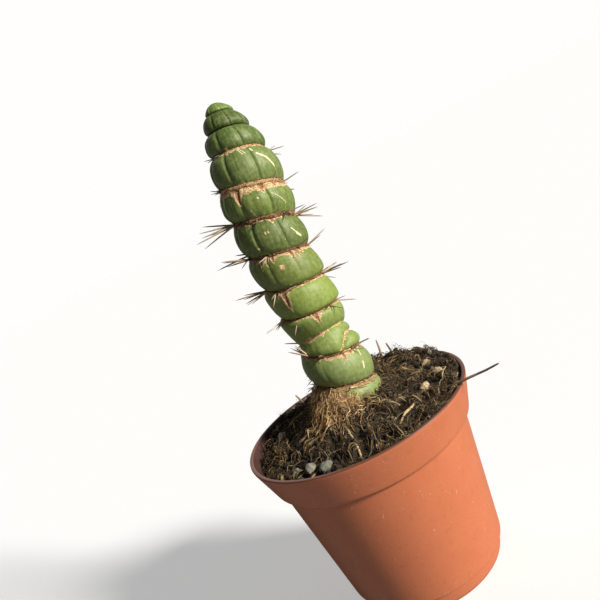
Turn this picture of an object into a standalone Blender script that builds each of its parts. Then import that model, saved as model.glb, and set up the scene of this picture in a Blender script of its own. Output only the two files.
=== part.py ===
"""Potted eulychnia cactus: a spiral-ribbed stem in a small stepped nursery pot.

Metres, +Z up. The origin is the middle of the pot's underside, -Y is the front.
The stem's single rib winds down as a left-handed spiral. Its surface is described by two
numbers: `turn`, how far round the spiral the groove above a point has come, and `share`,
0 at that groove and 1 at the groove below.
"""

import math
import random

import bmesh
import bpy
import numpy as np
from mathutils import Matrix, Vector, noise
from mathutils.bvhtree import BVHTree

MM = 0.001
GAP = 0.35 * MM
CLOSE = 0.01 * MM

# Pot, outside, from the rim down
POT_HEIGHT = 81 * MM
RIM_RADIUS = 50 * MM
COLLAR_FOOT_RADIUS = 45.4 * MM
COLLAR_DEPTH = 15.5 * MM
BODY_TOP_RADIUS = 43 * MM
LIP_RADIUS = 35.4 * MM
LIP_DEPTH = 73.6 * MM
FOOT_TOP_RADIUS = 34 * MM
FOOT_RADIUS = 32.2 * MM
WALL = 1.6 * MM
FLOOR = 2.2 * MM
POT_STEPS = 48
NOTCH_COUNT = 4
NOTCH_FIRST_ANGLE = math.radians(-10)
NOTCH_LENGTH = 10 * MM
NOTCH_WIDTH = 9 * MM
NOTCH_HEIGHT = 4.6 * MM
NOTCH_INNER_RADIUS = 29.5 * MM

# Soil
SOIL_EDGE_DROP = 3.2 * MM
SOIL_SLOPE = 5.5 * MM
SOIL_SLOPE_ANGLE = math.radians(50)
SOIL_MOUND = 9.5 * MM
SOIL_MOUND_RADIUS = 24 * MM
SOIL_MOUND_X = -5 * MM
SOIL_MOUND_Y = -5 * MM
SOIL_LUMPS = 1.7 * MM
SOIL_LUMP_SIZE = 7 * MM
SOIL_RINGS = 8
SOIL_STEPS = 40
STEM_HOLE_STEPS = 48
STEM_HOLE_RADIUS = 14.1 * MM
STEM_HOLE_FLOOR = 56 * MM

# Stem: heights of the spiral groove above the rim at the left (-X) and right (+X) side
GROOVES_LEFT = [135.5, 128.5, 119.5, 106.5, 92.5, 77.5, 62.8, 49.3, 32.6, 17.5, 2.5]
GROOVES_RIGHT = [133.2, 125.0, 114.5, 98.5, 85.0, 71.5, 58.6, 45.8, 24.5, 9.5, -5.0]
TIP_HEIGHT = 139.5
STEM_RADIUS = 14.2 * MM
SHOULDER_HEIGHT = 102 * MM
SHOULDER_POWER = 1.8
WAIST_HEIGHT = 36 * MM
WAIST_SPAN = 8 * MM
WAIST_DEPTH = 1.1 * MM
SWELL_HEIGHT = 102 * MM
SWELL_SPAN = 18 * MM
SWELL = 0.8 * MM
GROOVE_DEPTH = 3.7 * MM
LOBE_POWER = 0.55
FOOT_LEVEL = 5.0 * MM
FOOT_BLEND = 5.0 * MM
BURIED_RADIUS = 13.2 * MM
STEM_FOOT = 57 * MM
BASE_X = 2.6 * MM
BASE_Y = 3.0 * MM
LEAN_X = 2.4 * MM
LEAN_X_FROM = 80 * MM
LEAN_X_TO = 125 * MM
SAG_X = 0.9 * MM
SAG_HEIGHT = 70 * MM
SAG_SPAN = 16 * MM
LEAN_Y = 11.5 * MM
LEAN_Y_FROM = 62 * MM
LEAN_Y_POWER = 1.7
CREASES = 8
CREASE_DEPTH = 0.6 * MM
CREASE_FROM = 58 * MM
CREASE_FULL = 92 * MM
STEM_STEPS = 32
STEM_ROWS = 9
TURNS_ABOVE = 2
TURNS_BELOW = 12
FIRST_TURN = 0.0
LAST_TURN = 10.7
ROW_SNAP = 0.02
ROW_WELD = 0.001

# The two wedge lobes: short grooves that leave the main one at these turns and fade out
WEDGE_TURNS = (7.45, 7.79)
WEDGE_SHARES = (0.36, 0.54)
WEDGE_START = 0.2
WEDGE_OPEN = (0.60, 0.14)
WEDGE_FULLNESS = 2.0
WEDGE_FADE = (0.66, 0.94)

# Areole band and spines
BAND_FROM = 2.45
BAND_TO = 9.95
BAND_STEPS = 16
BAND_HALF_WIDTH = 1.2 * MM
BAND_THICKNESS = 1.7 * MM
BAND_LIFT = 0.6 * MM
BAND_CLEAR = 0.33 * MM
LIFT_STEP = 0.1 * MM
LIFT_STEPS = 40
WEDGE_BAND_STEPS = 14
WEDGE_BAND_REACH = (0.62, 0.30)
AREOLES_PER_TURN = 9
FEWEST_SPINES = 2
MORE_SPINES = 2.4
SPINE_ROOT_RADIUS = 0.5 * MM
SPINE_SIDES = 3
SPINE_LENGTHS = (5.0 * MM, 17.0 * MM)
SPINE_FOOT = 1.9 * MM
SPINE_FAN = math.radians(70)
SPINE_SWAY = math.radians(14)
SPINE_RISE = math.radians(30)
SPINE_CHECKS = 8
SPINE_TRIES = 20
SPINE_SEED = 7

# Loose things on the soil, in millimetres and degrees. Their middles lie a little above the
# soil: `PEBBLE_SEAT` and `STRAW_SEAT` are the shares of their half height that stand out.
PEBBLE_SEAT = 0.25
PEBBLE_LUMPS = 0.10
STRAW_SEAT = 0.25
STRAW_POINTS = 6
TWIG_SUNK = 3 * MM
# Pebbles: x, y, the three half sizes and a turn
PEBBLES = [
    (-19.5, -30.5, 3.4, 2.6, 2.3, 20),
    (-25.5, -26.0, 3.0, 2.5, 2.2, 70),
    (-31.5, -20.5, 2.4, 2.1, 1.9, 0),
    (30.0, -13.5, 2.9, 2.1, 1.9, 50),
    (38.5, -6.5, 3.1, 2.3, 2.0, 110),
    (37.0, 5.0, 2.3, 2.0, 1.8, 15),
    (-8.0, 36.0, 2.8, 2.3, 2.0, 85),
    (-34.0, 14.0, 2.5, 2.2, 1.9, 40),
]
# Straws: start x and y, heading in degrees, length, radius, bow and end lift
STRAWS = [
    (-23.5, -13.5, -18, 9.0, 0.80, 0.6, 0.4),
    (-6.6, -17.5, -88, 21.0, 0.65, 1.0, 0.0),
    (13.0, -30.0, 36, 12.0, 0.75, -0.6, 0.6),
    (-27.0, -6.0, -22, 17.0, 0.80, 1.6, 0.4),
    (26.5, 15.0, -62, 15.0, 0.85, -1.2, 0.5),
    (11.0, 33.0, 160, 16.0, 0.80, 1.4, 0.4),
    (-20.0, 26.0, 205, 14.0, 0.85, 1.1, 0.5),
]
# Twigs that stand out of the soil: foot x and y, tip offset x, y and z, radius
TWIGS = [
    (22.5, 37.5, 2.0, 1.5, 9.0, 0.75),
    (28.5, 31.5, -1.0, 1.0, 7.0, 0.75),
    (-19.5, 38.5, -2.5, 1.5, 6.5, 0.75),
]
# The long twig that lies over the rim: points x, y and height above the rim
RIM_TWIG = [(35.5, -21.0, -1.2), (40.0, -26.0, 0.4), (44.2, -29.0, 1.7), (48.0, -30.8, 2.2),
            (51.5, -34.0, 3.3), (56.0, -38.5, 5.4)]
RIM_TWIG_RADIUS = 0.7 * MM


def smooth(value, low, high):
    """0 below low, 1 above high and a smooth step between."""
    part = min(max((value - low) / (high - low), 0.0), 1.0)
    return part * part * (3 - 2 * part)


def bell(value, middle, span):
    return math.exp(-(((value - middle) / span) ** 2))


def new_collection(name, hidden=False):
    collection = bpy.data.collections.new(name)
    collection.hide_render = hidden
    bpy.context.scene.collection.children.link(collection)
    return collection


def new_material(name, colour, roughness, metallic=0.0):
    material = bpy.data.materials.new(name)
    material.use_nodes = True
    surface = material.node_tree.nodes["Principled BSDF"]
    surface.inputs["Base Color"].default_value = (*colour, 1.0)
    surface.inputs["Roughness"].default_value = roughness
    surface.inputs["Metallic"].default_value = metallic
    return material


def turn_outward(bm):
    """Makes every face of a closed mesh point out."""
    bmesh.ops.recalc_face_normals(bm, faces=bm.faces)
    if bm.calc_volume(signed=True) < 0:
        bmesh.ops.reverse_faces(bm, faces=bm.faces)


def object_from(bm, name, collection):
    mesh = bpy.data.meshes.new(name)
    bm.to_mesh(mesh)
    bm.free()
    obj = bpy.data.objects.new(name, mesh)
    collection.objects.link(obj)
    return obj


def apply_modifiers(obj):
    """Replaces the object's mesh with the one that its modifiers make."""
    graph = bpy.context.evaluated_depsgraph_get()
    made = bpy.data.meshes.new_from_object(obj.evaluated_get(graph))
    obj.modifiers.clear()
    obj.data = made


def turned(name, profile, steps, collection, closed=True, drop=0.0, turns=1):
    """Sweeps (radius, height) points round Z. `drop` is how far each turn sinks."""
    bm = bmesh.new()
    points = [bm.verts.new((radius, 0, height)) for radius, height in profile]
    ends = points[1:] + points[:1] if closed else points[1:]
    for start, end in zip(points, ends):
        bm.edges.new((start, end))
    obj = object_from(bm, name, collection)
    screw = obj.modifiers.new("turn", "SCREW")
    screw.steps = steps
    screw.render_steps = steps
    screw.iterations = turns
    screw.screw_offset = -drop
    screw.use_merge_vertices = True
    screw.merge_threshold = CLOSE
    apply_modifiers(obj)
    return obj


def boolean(obj, operation, collection):
    modifier = obj.modifiers.new(operation.lower(), "BOOLEAN")
    modifier.operation = operation
    modifier.solver = "EXACT"
    modifier.operand_type = "COLLECTION"
    modifier.collection = collection
    apply_modifiers(obj)


def remove_objects(collection):
    for obj in list(collection.objects):
        bpy.data.objects.remove(obj, do_unlink=True)


def finish_mesh(obj, material, sharp_degrees):
    obj.data.materials.clear()
    obj.data.materials.append(material)
    obj.data.shade_smooth()
    obj.data.set_sharp_from_angle(angle=math.radians(sharp_degrees))


def pot_inside():
    """Inner wall as (radius, height), from the floor up to the rim."""
    top = POT_HEIGHT
    body_slope = (BODY_TOP_RADIUS - LIP_RADIUS) / (LIP_DEPTH - COLLAR_DEPTH)
    floor_radius = FOOT_RADIUS - WALL
    return [
        (floor_radius, FLOOR),
        (FOOT_TOP_RADIUS - WALL, top - LIP_DEPTH),
        (LIP_RADIUS - WALL + body_slope * 4 * MM, top - LIP_DEPTH + 4 * MM),
        (BODY_TOP_RADIUS - WALL, top - COLLAR_DEPTH - 1.5 * MM),
        (COLLAR_FOOT_RADIUS - WALL, top - COLLAR_DEPTH + 1.0 * MM),
        (RIM_RADIUS - WALL - 0.3 * MM, top - 0.5 * MM),
    ]


def inside_radius(height):
    points = pot_inside()
    return float(np.interp(height, [z for _, z in points], [r for r, _ in points]))


def make_pot(parts, cutters):
    top = POT_HEIGHT
    outside = [
        (RIM_RADIUS - 0.5 * MM, top),
        (RIM_RADIUS, top - 0.6 * MM),
        (COLLAR_FOOT_RADIUS + 0.2 * MM, top - COLLAR_DEPTH + 0.8 * MM),
        (COLLAR_FOOT_RADIUS - 0.6 * MM, top - COLLAR_DEPTH),
        (BODY_TOP_RADIUS, top - COLLAR_DEPTH - 0.8 * MM),
        (LIP_RADIUS, top - LIP_DEPTH + 0.3 * MM),
        (LIP_RADIUS - 0.4 * MM, top - LIP_DEPTH),
        (FOOT_TOP_RADIUS, top - LIP_DEPTH + 0.2 * MM),
        (FOOT_RADIUS + 0.7 * MM, 1.2 * MM),
        (FOOT_RADIUS - 0.8 * MM, 0),
        (0, 0),
    ]
    profile = outside + [(0, FLOOR)] + pot_inside() + [(RIM_RADIUS - WALL + 0.2 * MM, top)]
    pot = turned("pot", profile, POT_STEPS, parts)
    for index in range(NOTCH_COUNT):
        angle = NOTCH_FIRST_ANGLE + index * math.tau / NOTCH_COUNT
        bm = bmesh.new()
        bmesh.ops.create_cube(bm, size=1)
        bmesh.ops.scale(bm, vec=(NOTCH_LENGTH, NOTCH_WIDTH, 2 * NOTCH_HEIGHT), verts=bm.verts)
        middle = NOTCH_INNER_RADIUS + NOTCH_LENGTH / 2
        bmesh.ops.translate(bm, vec=(middle, 0, 0), verts=bm.verts)
        bmesh.ops.rotate(bm, matrix=Matrix.Rotation(angle, 3, "Z"), verts=bm.verts)
        object_from(bm, f"notch_cutter_{index + 1}", cutters)
    boolean(pot, "DIFFERENCE", cutters)
    remove_objects(cutters)
    finish_mesh(pot, new_material("pot_terracotta_plastic", (0.60, 0.24, 0.12), 0.45), 30)


def groove_height(turn):
    """Height of the spiral groove, and of any point whose turn plus share is `turn`."""
    known = [TIP_HEIGHT + 0.6, TIP_HEIGHT - 0.5]
    for left, right in zip(GROOVES_LEFT, GROOVES_RIGHT):
        known += [left, right]
    position = (turn + 0.5) * 2
    index = min(max(int(math.floor(position)), 0), len(known) - 2)
    steps = np.diff(known)
    slopes = np.empty(len(known))
    slopes[0], slopes[-1] = steps[0], steps[-1]
    slopes[1:-1] = 2 * steps[:-1] * steps[1:] / (steps[:-1] + steps[1:])
    part = position - index
    if part > 1:
        return float(known[-1] + slopes[-1] * (part - 1)) * MM
    rise = part * part * (3 - 2 * part)
    start_slope = part * (1 - part) ** 2
    end_slope = part * part * (part - 1)
    height = known[index] * (1 - rise) + known[index + 1] * rise
    return float(height + slopes[index] * start_slope + slopes[index + 1] * end_slope) * MM


def crest_radius(height):
    """Radius over the lobes at a height above the rim."""
    waist = WAIST_DEPTH * bell(height, WAIST_HEIGHT, WAIST_SPAN)
    radius = STEM_RADIUS - waist + SWELL * bell(height, SWELL_HEIGHT, SWELL_SPAN)
    if height < SHOULDER_HEIGHT:
        return radius
    part = (height - SHOULDER_HEIGHT) / (TIP_HEIGHT * MM - SHOULDER_HEIGHT)
    return radius * math.sqrt(max(1 - part**SHOULDER_POWER, 0.0))


def groove_depth(height):
    """How far the groove lies below the crests: less at the tip, none at the buried foot."""
    slim = min(crest_radius(height) / STEM_RADIUS, 1.0)
    return GROOVE_DEPTH * slim * smooth(height, FOOT_LEVEL, FOOT_LEVEL + FOOT_BLEND)


def stem_axis(height):
    """Where the stem's middle is at a height above the rim, and its lean away from the front."""
    tip = TIP_HEIGHT * MM
    lean_x = LEAN_X * smooth(height, LEAN_X_FROM, LEAN_X_TO)
    over_y = max((height - LEAN_Y_FROM) / (tip - LEAN_Y_FROM), 0.0)
    x = BASE_X + lean_x - SAG_X * bell(height, SAG_HEIGHT, SAG_SPAN)
    y = BASE_Y + LEAN_Y * over_y**LEAN_Y_POWER
    slope = LEAN_Y_POWER * LEAN_Y * over_y ** (LEAN_Y_POWER - 1) / (tip - LEAN_Y_FROM)
    return Vector((x, y, POT_HEIGHT + height)), math.atan(slope)


def wedge_strength(turn):
    """How strongly the two short grooves show at this turn."""
    way = turn - WEDGE_TURNS[0]
    return 1 - smooth(way, *WEDGE_FADE) if way > 0 else 0.0


def wedge_cuts(turn):
    """Shares of the two short grooves: each starts in the lower main groove and spreads."""
    cuts = []
    for start, share, reach in zip(WEDGE_TURNS, WEDGE_SHARES, WEDGE_OPEN):
        way = min(max((turn - start) / reach, 0.0), 1.0)
        cuts.append(1 - (1 - share) * math.sin(way * math.pi / 2))
    return cuts


def lobe_rise(share):
    return (4 * max(share * (1 - share), 0.0)) ** LOBE_POWER


def lobe_profile(turn, share):
    """0 in a groove and 1 on a full crest."""
    whole = lobe_rise(share)
    strength = wedge_strength(turn)
    if strength == 0:
        return whole
    cuts = [0.0, *wedge_cuts(turn), 1.0]
    for low, high in zip(cuts, cuts[1:]):
        if share <= high or high == 1.0:
            part = min(max((share - low) / (high - low), 0.0), 1.0)
            size = min(1.0, WEDGE_FULLNESS * (high - low)) ** 0.5
            return whole * (1 - strength) + strength * lobe_rise(part) * size
    return whole


def stem_radius(turn, share, height):
    crest = crest_radius(height)
    depth = groove_depth(height)
    buried = 1 - smooth(height, FOOT_LEVEL - 1 * MM, FOOT_LEVEL + FOOT_BLEND)
    radius = crest - depth * (1 - lobe_profile(turn, share))
    radius += (BURIED_RADIUS - radius) * buried
    strength = smooth(height, CREASE_FROM, CREASE_FULL) * crest / STEM_RADIUS
    wave = (0.5 + 0.5 * math.cos(math.tau * CREASES * turn)) ** 3
    return radius - CREASE_DEPTH * strength * wave * lobe_rise(share)


def stem_point(turn, share, outward=0.0, upward=0.0):
    """A point of the stem's skin, or one off it by `outward` and `upward`."""
    height = groove_height(turn + share)
    middle, lean = stem_axis(height)
    radius = stem_radius(turn, share, height) + outward
    angle = math.tau * turn
    across = Vector((1, 0, 0))
    away = Vector((0, math.cos(lean), -math.sin(lean)))
    up = Vector((0, math.sin(lean), math.cos(lean)))
    return middle + radius * (math.cos(angle) * across + math.sin(angle) * away) + upward * up


def row_share(turn, row):
    """Share of a mesh row, 0 to 1: rows gather at the grooves and follow the short ones."""
    plain = 0.5 - 0.5 * math.cos(math.pi * row)
    strength = wedge_strength(turn) * smooth(turn - WEDGE_TURNS[0], 0.0, WEDGE_START)
    if strength == 0:
        return plain
    first, second = wedge_cuts(turn)
    opened = smooth(turn - WEDGE_TURNS[1], 0.0, WEDGE_OPEN[1])
    cuts = [0.0, first, second * opened + (first + 1) / 2 * (1 - opened), 1.0]
    third = min(int(row * 3), 2)
    part = 0.5 - 0.5 * math.cos(math.pi * (row * 3 - third))
    split = cuts[third] + part * (cuts[third + 1] - cuts[third])
    return plain * (1 - strength) + split * strength


def make_stem(parts):
    """A plain spiral tube, cut level at both ends and capped, then moved onto the skin."""
    profile = [(1, TURNS_ABOVE - row / STEM_ROWS) for row in range(STEM_ROWS + 1)]
    stem = turned("cactus_stem", profile, STEM_STEPS, parts, closed=False, drop=1,
                  turns=TURNS_ABOVE + TURNS_BELOW)
    bm = bmesh.new()
    bm.from_mesh(stem.data)
    bmesh.ops.remove_doubles(bm, verts=bm.verts, dist=ROW_WELD)
    for level, side in ((-FIRST_TURN, 1), (-LAST_TURN, -1)):
        everything = bm.verts[:] + bm.edges[:] + bm.faces[:]
        bmesh.ops.bisect_plane(bm, geom=everything, dist=ROW_SNAP, use_snap_center=True,
                               plane_co=(0, 0, level), plane_no=(0, 0, side), clear_outer=True)
    rims = {1: [], -1: []}
    for edge in bm.edges:
        if edge.is_boundary:
            rims[1 if edge.verts[0].co.z > 0 else -1].append(edge)
    for vert in bm.verts:
        angle = math.atan2(vert.co.y, vert.co.x) % math.tau
        if angle > math.tau - ROW_WELD:
            angle = 0.0
        reach = -vert.co.z - angle / math.tau
        whole = math.floor(reach + ROW_WELD)
        turn = whole + angle / math.tau
        row = min(max(reach - whole, 0.0), 1.0)
        vert.co = stem_point(turn, row_share(turn, row))
    tip = bm.verts.new(stem_axis(TIP_HEIGHT * MM)[0])
    for edge in rims[1]:
        bm.faces.new((edge.verts[0], edge.verts[1], tip))
    grown = bmesh.ops.extrude_edge_only(bm, edges=rims[-1])["geom"]
    for item in grown:
        if isinstance(item, bmesh.types.BMVert):
            item.co.z = STEM_FOOT
    bmesh.ops.contextual_create(bm, geom=[e for e in grown if isinstance(e, bmesh.types.BMEdge)
                                          and e.is_boundary])
    turn_outward(bm)
    bm.to_mesh(stem.data)
    bm.free()
    finish_mesh(stem, new_material("cactus_skin", (0.16, 0.26, 0.08), 0.42), 50)
    return stem


def groove_frame(turn, share=0.0):
    """Place on the skin, and its outward, along and up directions."""
    place = stem_point(turn, share)
    outward = (stem_point(turn, share, outward=MM) - place).normalized()
    up = (stem_point(turn, share, upward=MM) - place).normalized()
    return place, outward, up.cross(outward), up


def clearance(tree, point):
    """Distance from a point to the stem's mesh, negative inside it."""
    near, normal, _, distance = tree.find_nearest(point)
    return math.copysign(distance, (point - near).dot(normal))


def band_section(tree, frame, half_width, thickness):
    """Four corners across the groove: inner, lower, outer and upper, raised clear of the stem."""
    place, outward, _, up = frame
    for step in range(LIFT_STEPS):
        inner = place + outward * (BAND_LIFT + step * LIFT_STEP)
        middle = inner + outward * thickness * 0.6
        wide = up * half_width
        corners = [inner, middle - wide, inner + outward * thickness, middle + wide]
        tests = [inner, corners[1], corners[3], (inner + corners[1]) / 2, (inner + corners[3]) / 2]
        if min(clearance(tree, point) for point in tests) > BAND_CLEAR:
            break
    return corners


def band_mesh(name, frames, collection, tree, half_width, thickness):
    """A four-cornered band through a list of groove frames, slimmer at both ends."""
    bm = bmesh.new()
    rings = []
    last = len(frames) - 1
    for index, frame in enumerate(frames):
        size = 0.5 + 0.5 * smooth(min(index, last - index), 0, 4)
        corners = band_section(tree, frame, half_width * size, thickness * size)
        rings.append([bm.verts.new(corner) for corner in corners])
    for ring, following in zip(rings, rings[1:]):
        for side in range(4):
            after = (side + 1) % 4
            bm.faces.new((ring[side], ring[after], following[after], following[side]))
    bm.faces.new(rings[0])
    bm.faces.new(rings[-1])
    turn_outward(bm)
    return object_from(bm, name, collection)


def spine_is_clear(tree, foot, direction, length):
    """True where a spine stays off the stem all the way."""
    for step in range(SPINE_CHECKS + 1):
        part = step / SPINE_CHECKS
        radius = SPINE_ROOT_RADIUS * (1 - part)
        if clearance(tree, foot + direction * length * part) < radius + GAP:
            return False
    return True


def make_spine(name, foot, direction, length, collection):
    bm = bmesh.new()
    bmesh.ops.create_cone(bm, cap_ends=True, segments=SPINE_SIDES, radius1=SPINE_ROOT_RADIUS,
                          radius2=0.0, depth=length)
    bmesh.ops.remove_doubles(bm, verts=bm.verts, dist=CLOSE)
    bmesh.ops.translate(bm, vec=(0, 0, length / 2), verts=bm.verts)
    turn = direction.to_track_quat("Z", "Y").to_matrix()
    bmesh.ops.rotate(bm, matrix=turn, verts=bm.verts)
    bmesh.ops.translate(bm, vec=foot, verts=bm.verts)
    return object_from(bm, name, collection)


def areole_spines(draw, tree, turn):
    """(foot, direction, length) of each spine of one areole, redrawn until it is clear."""
    place, outward, along, up = groove_frame(turn)
    height = place.z - POT_HEIGHT
    share = smooth(height, 8 * MM, 60 * MM) * (1 - 0.6 * smooth(height, 105 * MM, 120 * MM))
    amount = FEWEST_SPINES + round(MORE_SPINES * share)
    found = []
    for number in range(amount):
        spread = (number - (amount - 1) / 2) / amount
        for _ in range(SPINE_TRIES):
            sideways = SPINE_FAN * spread + draw.uniform(-SPINE_SWAY, SPINE_SWAY)
            rise = draw.uniform(-SPINE_RISE, SPINE_RISE)
            direction = outward * math.cos(sideways) + along * math.sin(sideways)
            direction = (direction * math.cos(rise) + up * math.sin(rise)).normalized()
            reach = draw.uniform(0, 1) ** 1.3 * share
            length = SPINE_LENGTHS[0] + (SPINE_LENGTHS[1] - SPINE_LENGTHS[0]) * reach
            foot = place + outward * SPINE_FOOT + along * 0.5 * MM * (number - 1)
            if spine_is_clear(tree, foot, direction, length):
                found.append((foot, direction, length))
                break
    return found


def make_spines(parts, stem):
    """The corky band in the groove with the spines of each areole, joined in one body."""
    draw = random.Random(SPINE_SEED)
    tree = BVHTree.FromObject(stem, bpy.context.evaluated_depsgraph_get())
    repeats = new_collection("repeats")
    count = round((BAND_TO - BAND_FROM) * BAND_STEPS)
    turns = [BAND_FROM + (BAND_TO - BAND_FROM) * index / count for index in range(count + 1)]
    band = band_mesh("areoles_and_spines", [groove_frame(turn) for turn in turns], parts, tree,
                     BAND_HALF_WIDTH, BAND_THICKNESS)
    for index, (start, reach) in enumerate(zip(WEDGE_TURNS, WEDGE_BAND_REACH)):
        frames = []
        for step in range(WEDGE_BAND_STEPS + 1):
            turn = start + reach * step / WEDGE_BAND_STEPS
            away = (1 - wedge_cuts(turn)[index]) * smooth(step, 0, 3)
            frames.append(groove_frame(turn, 1 - away))
        band_mesh(f"wedge_band_{index}", frames, repeats, tree, BAND_HALF_WIDTH * 0.7,
                  BAND_THICKNESS * 0.8)
    for index in range(round((BAND_TO - BAND_FROM - 0.1) * AREOLES_PER_TURN)):
        turn = BAND_FROM + 0.06 + (index + 0.5) / AREOLES_PER_TURN
        for number, spine in enumerate(areole_spines(draw, tree, turn)):
            make_spine(f"spine_{index}_{number}", *spine, repeats)
    boolean(band, "UNION", repeats)
    remove_objects(repeats)
    finish_mesh(band, new_material("areole_cork", (0.52, 0.34, 0.18), 0.75), 40)


def soil_height(x, y):
    """Height of the soil surface, before its small lumps."""
    reach = min(math.hypot(x, y) / RIM_RADIUS, 1.0)
    toward = (x * math.cos(SOIL_SLOPE_ANGLE) + y * math.sin(SOIL_SLOPE_ANGLE)) / RIM_RADIUS
    away = math.hypot(x - SOIL_MOUND_X, y - SOIL_MOUND_Y)
    mound = SOIL_MOUND * bell(away, 0, SOIL_MOUND_RADIUS)
    return POT_HEIGHT - SOIL_EDGE_DROP * (0.6 + 0.4 * reach**4) + SOIL_SLOPE * toward + mound


def soil_surface(x, y):
    lump = noise.noise(Vector((x, y, 0)) / SOIL_LUMP_SIZE)
    fine = noise.noise(Vector((x, y, 3 * MM)) / (SOIL_LUMP_SIZE * 0.45))
    return soil_height(x, y) + SOIL_LUMPS * (lump + 0.5 * fine)


def make_soil(parts, cutters):
    """A turned filling of the pot whose top rings are raised by the surface's formula."""
    edge = [(radius - GAP, height) for radius, height in pot_inside()]
    edge[0] = (edge[0][0], FLOOR + GAP)
    top_radius = edge[-1][0] - 0.6 * MM
    crown = [(top_radius * ring / SOIL_RINGS, 2 * POT_HEIGHT) for ring in range(SOIL_RINGS + 1)]
    profile = crown + edge[-2::-1] + [(0, FLOOR + GAP)]
    soil = turned("soil", profile, SOIL_STEPS, parts)
    for vert in soil.data.vertices:
        if vert.co.z > 1.5 * POT_HEIGHT:
            x, y, _ = vert.co
            vert.co.z = soil_surface(x, y)
            limit = inside_radius(vert.co.z) - GAP - 0.5 * MM
            reach = math.hypot(x, y)
            if reach > limit:
                vert.co.x *= limit / reach
                vert.co.y *= limit / reach
    bm = bmesh.new()
    bmesh.ops.create_cone(bm, cap_ends=True, segments=STEM_HOLE_STEPS, radius1=STEM_HOLE_RADIUS,
                          radius2=STEM_HOLE_RADIUS, depth=POT_HEIGHT)
    hole = (BASE_X, BASE_Y, STEM_HOLE_FLOOR + POT_HEIGHT / 2)
    bmesh.ops.translate(bm, vec=hole, verts=bm.verts)
    object_from(bm, "stem_hole_cutter", cutters)
    boolean(soil, "DIFFERENCE", cutters)
    remove_objects(cutters)
    finish_mesh(soil, new_material("dark_peat", (0.022, 0.017, 0.012), 0.95), 25)
    return soil


def pebble_mesh(name, spot, collection, grow=0.0):
    x, y, long, wide, tall, turn = spot
    sizes = [size * MM + grow for size in (long, wide, tall)]
    bm = bmesh.new()
    bmesh.ops.create_icosphere(bm, subdivisions=2, radius=1)
    for vert in bm.verts:
        lump = 1 + PEBBLE_LUMPS * noise.noise(vert.co * 1.4 + Vector((x, y, long)))
        vert.co = Vector([part * size for part, size in zip(vert.co, sizes)]) * lump
    bmesh.ops.rotate(bm, matrix=Matrix.Rotation(math.radians(turn), 3, "Z"), verts=bm.verts)
    height = soil_surface(x * MM, y * MM) + PEBBLE_SEAT * tall * MM
    bmesh.ops.translate(bm, vec=(x * MM, y * MM, height), verts=bm.verts)
    return object_from(bm, name, collection)


def tube(name, points, radii, collection, grow=0.0):
    """A poly curve with a bevel, made a closed mesh. `grow` widens and lengthens it."""
    curve = bpy.data.curves.new(name, "CURVE")
    curve.dimensions = "3D"
    curve.bevel_depth = 1.0
    curve.bevel_resolution = 1
    curve.use_fill_caps = True
    route = [Vector(point) for point in points]
    if grow:
        route[0] += (route[0] - route[1]).normalized() * grow
        route[-1] += (route[-1] - route[-2]).normalized() * grow
    spline = curve.splines.new("POLY")
    spline.points.add(len(route) - 1)
    for point, place, radius in zip(spline.points, route, radii):
        point.co = (*place, 1)
        point.radius = radius + grow
    source = bpy.data.objects.new(name, curve)
    collection.objects.link(source)
    graph = bpy.context.evaluated_depsgraph_get()
    mesh = bpy.data.meshes.new_from_object(source.evaluated_get(graph))
    bpy.data.objects.remove(source, do_unlink=True)
    bpy.data.curves.remove(curve)
    bm = bmesh.new()
    bm.from_mesh(mesh)
    bmesh.ops.remove_doubles(bm, verts=bm.verts, dist=CLOSE)
    turn_outward(bm)
    bpy.data.meshes.remove(mesh)
    return object_from(bm, name, collection)


def straw_route(spot):
    """Points of a bowed straw that lies half sunk in the soil surface."""
    x, y, heading, length, radius, bow, lift = spot
    angle = math.radians(heading)
    along = Vector((math.cos(angle), math.sin(angle)))
    side = Vector((-along.y, along.x))
    points = []
    radii = []
    for step in range(STRAW_POINTS):
        part = step / (STRAW_POINTS - 1)
        flat = Vector((x, y)) + along * length * part + side * bow * math.sin(math.pi * part)
        height = soil_surface(flat.x * MM, flat.y * MM) + (STRAW_SEAT + lift * part) * radius * MM
        points.append((flat.x * MM, flat.y * MM, height))
        radii.append(radius * MM * (1 - 0.25 * part))
    return points, radii


def twig_route(spot):
    """Points of a short twig that stands in the soil."""
    x, y, over_x, over_y, over_z, radius = spot
    foot = Vector((x * MM, y * MM, soil_surface(x * MM, y * MM) - TWIG_SUNK))
    tip = Vector((over_x, over_y, over_z)) * MM + Vector((0, 0, TWIG_SUNK))
    bend = Vector((over_y, -over_x, 0)) * 0.25 * MM
    points = [foot + tip * part + bend * math.sin(math.pi * part) for part in (0, 0.3, 0.65, 1)]
    return points, [radius * MM * size for size in (1.0, 0.95, 0.8, 0.55)]


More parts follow.
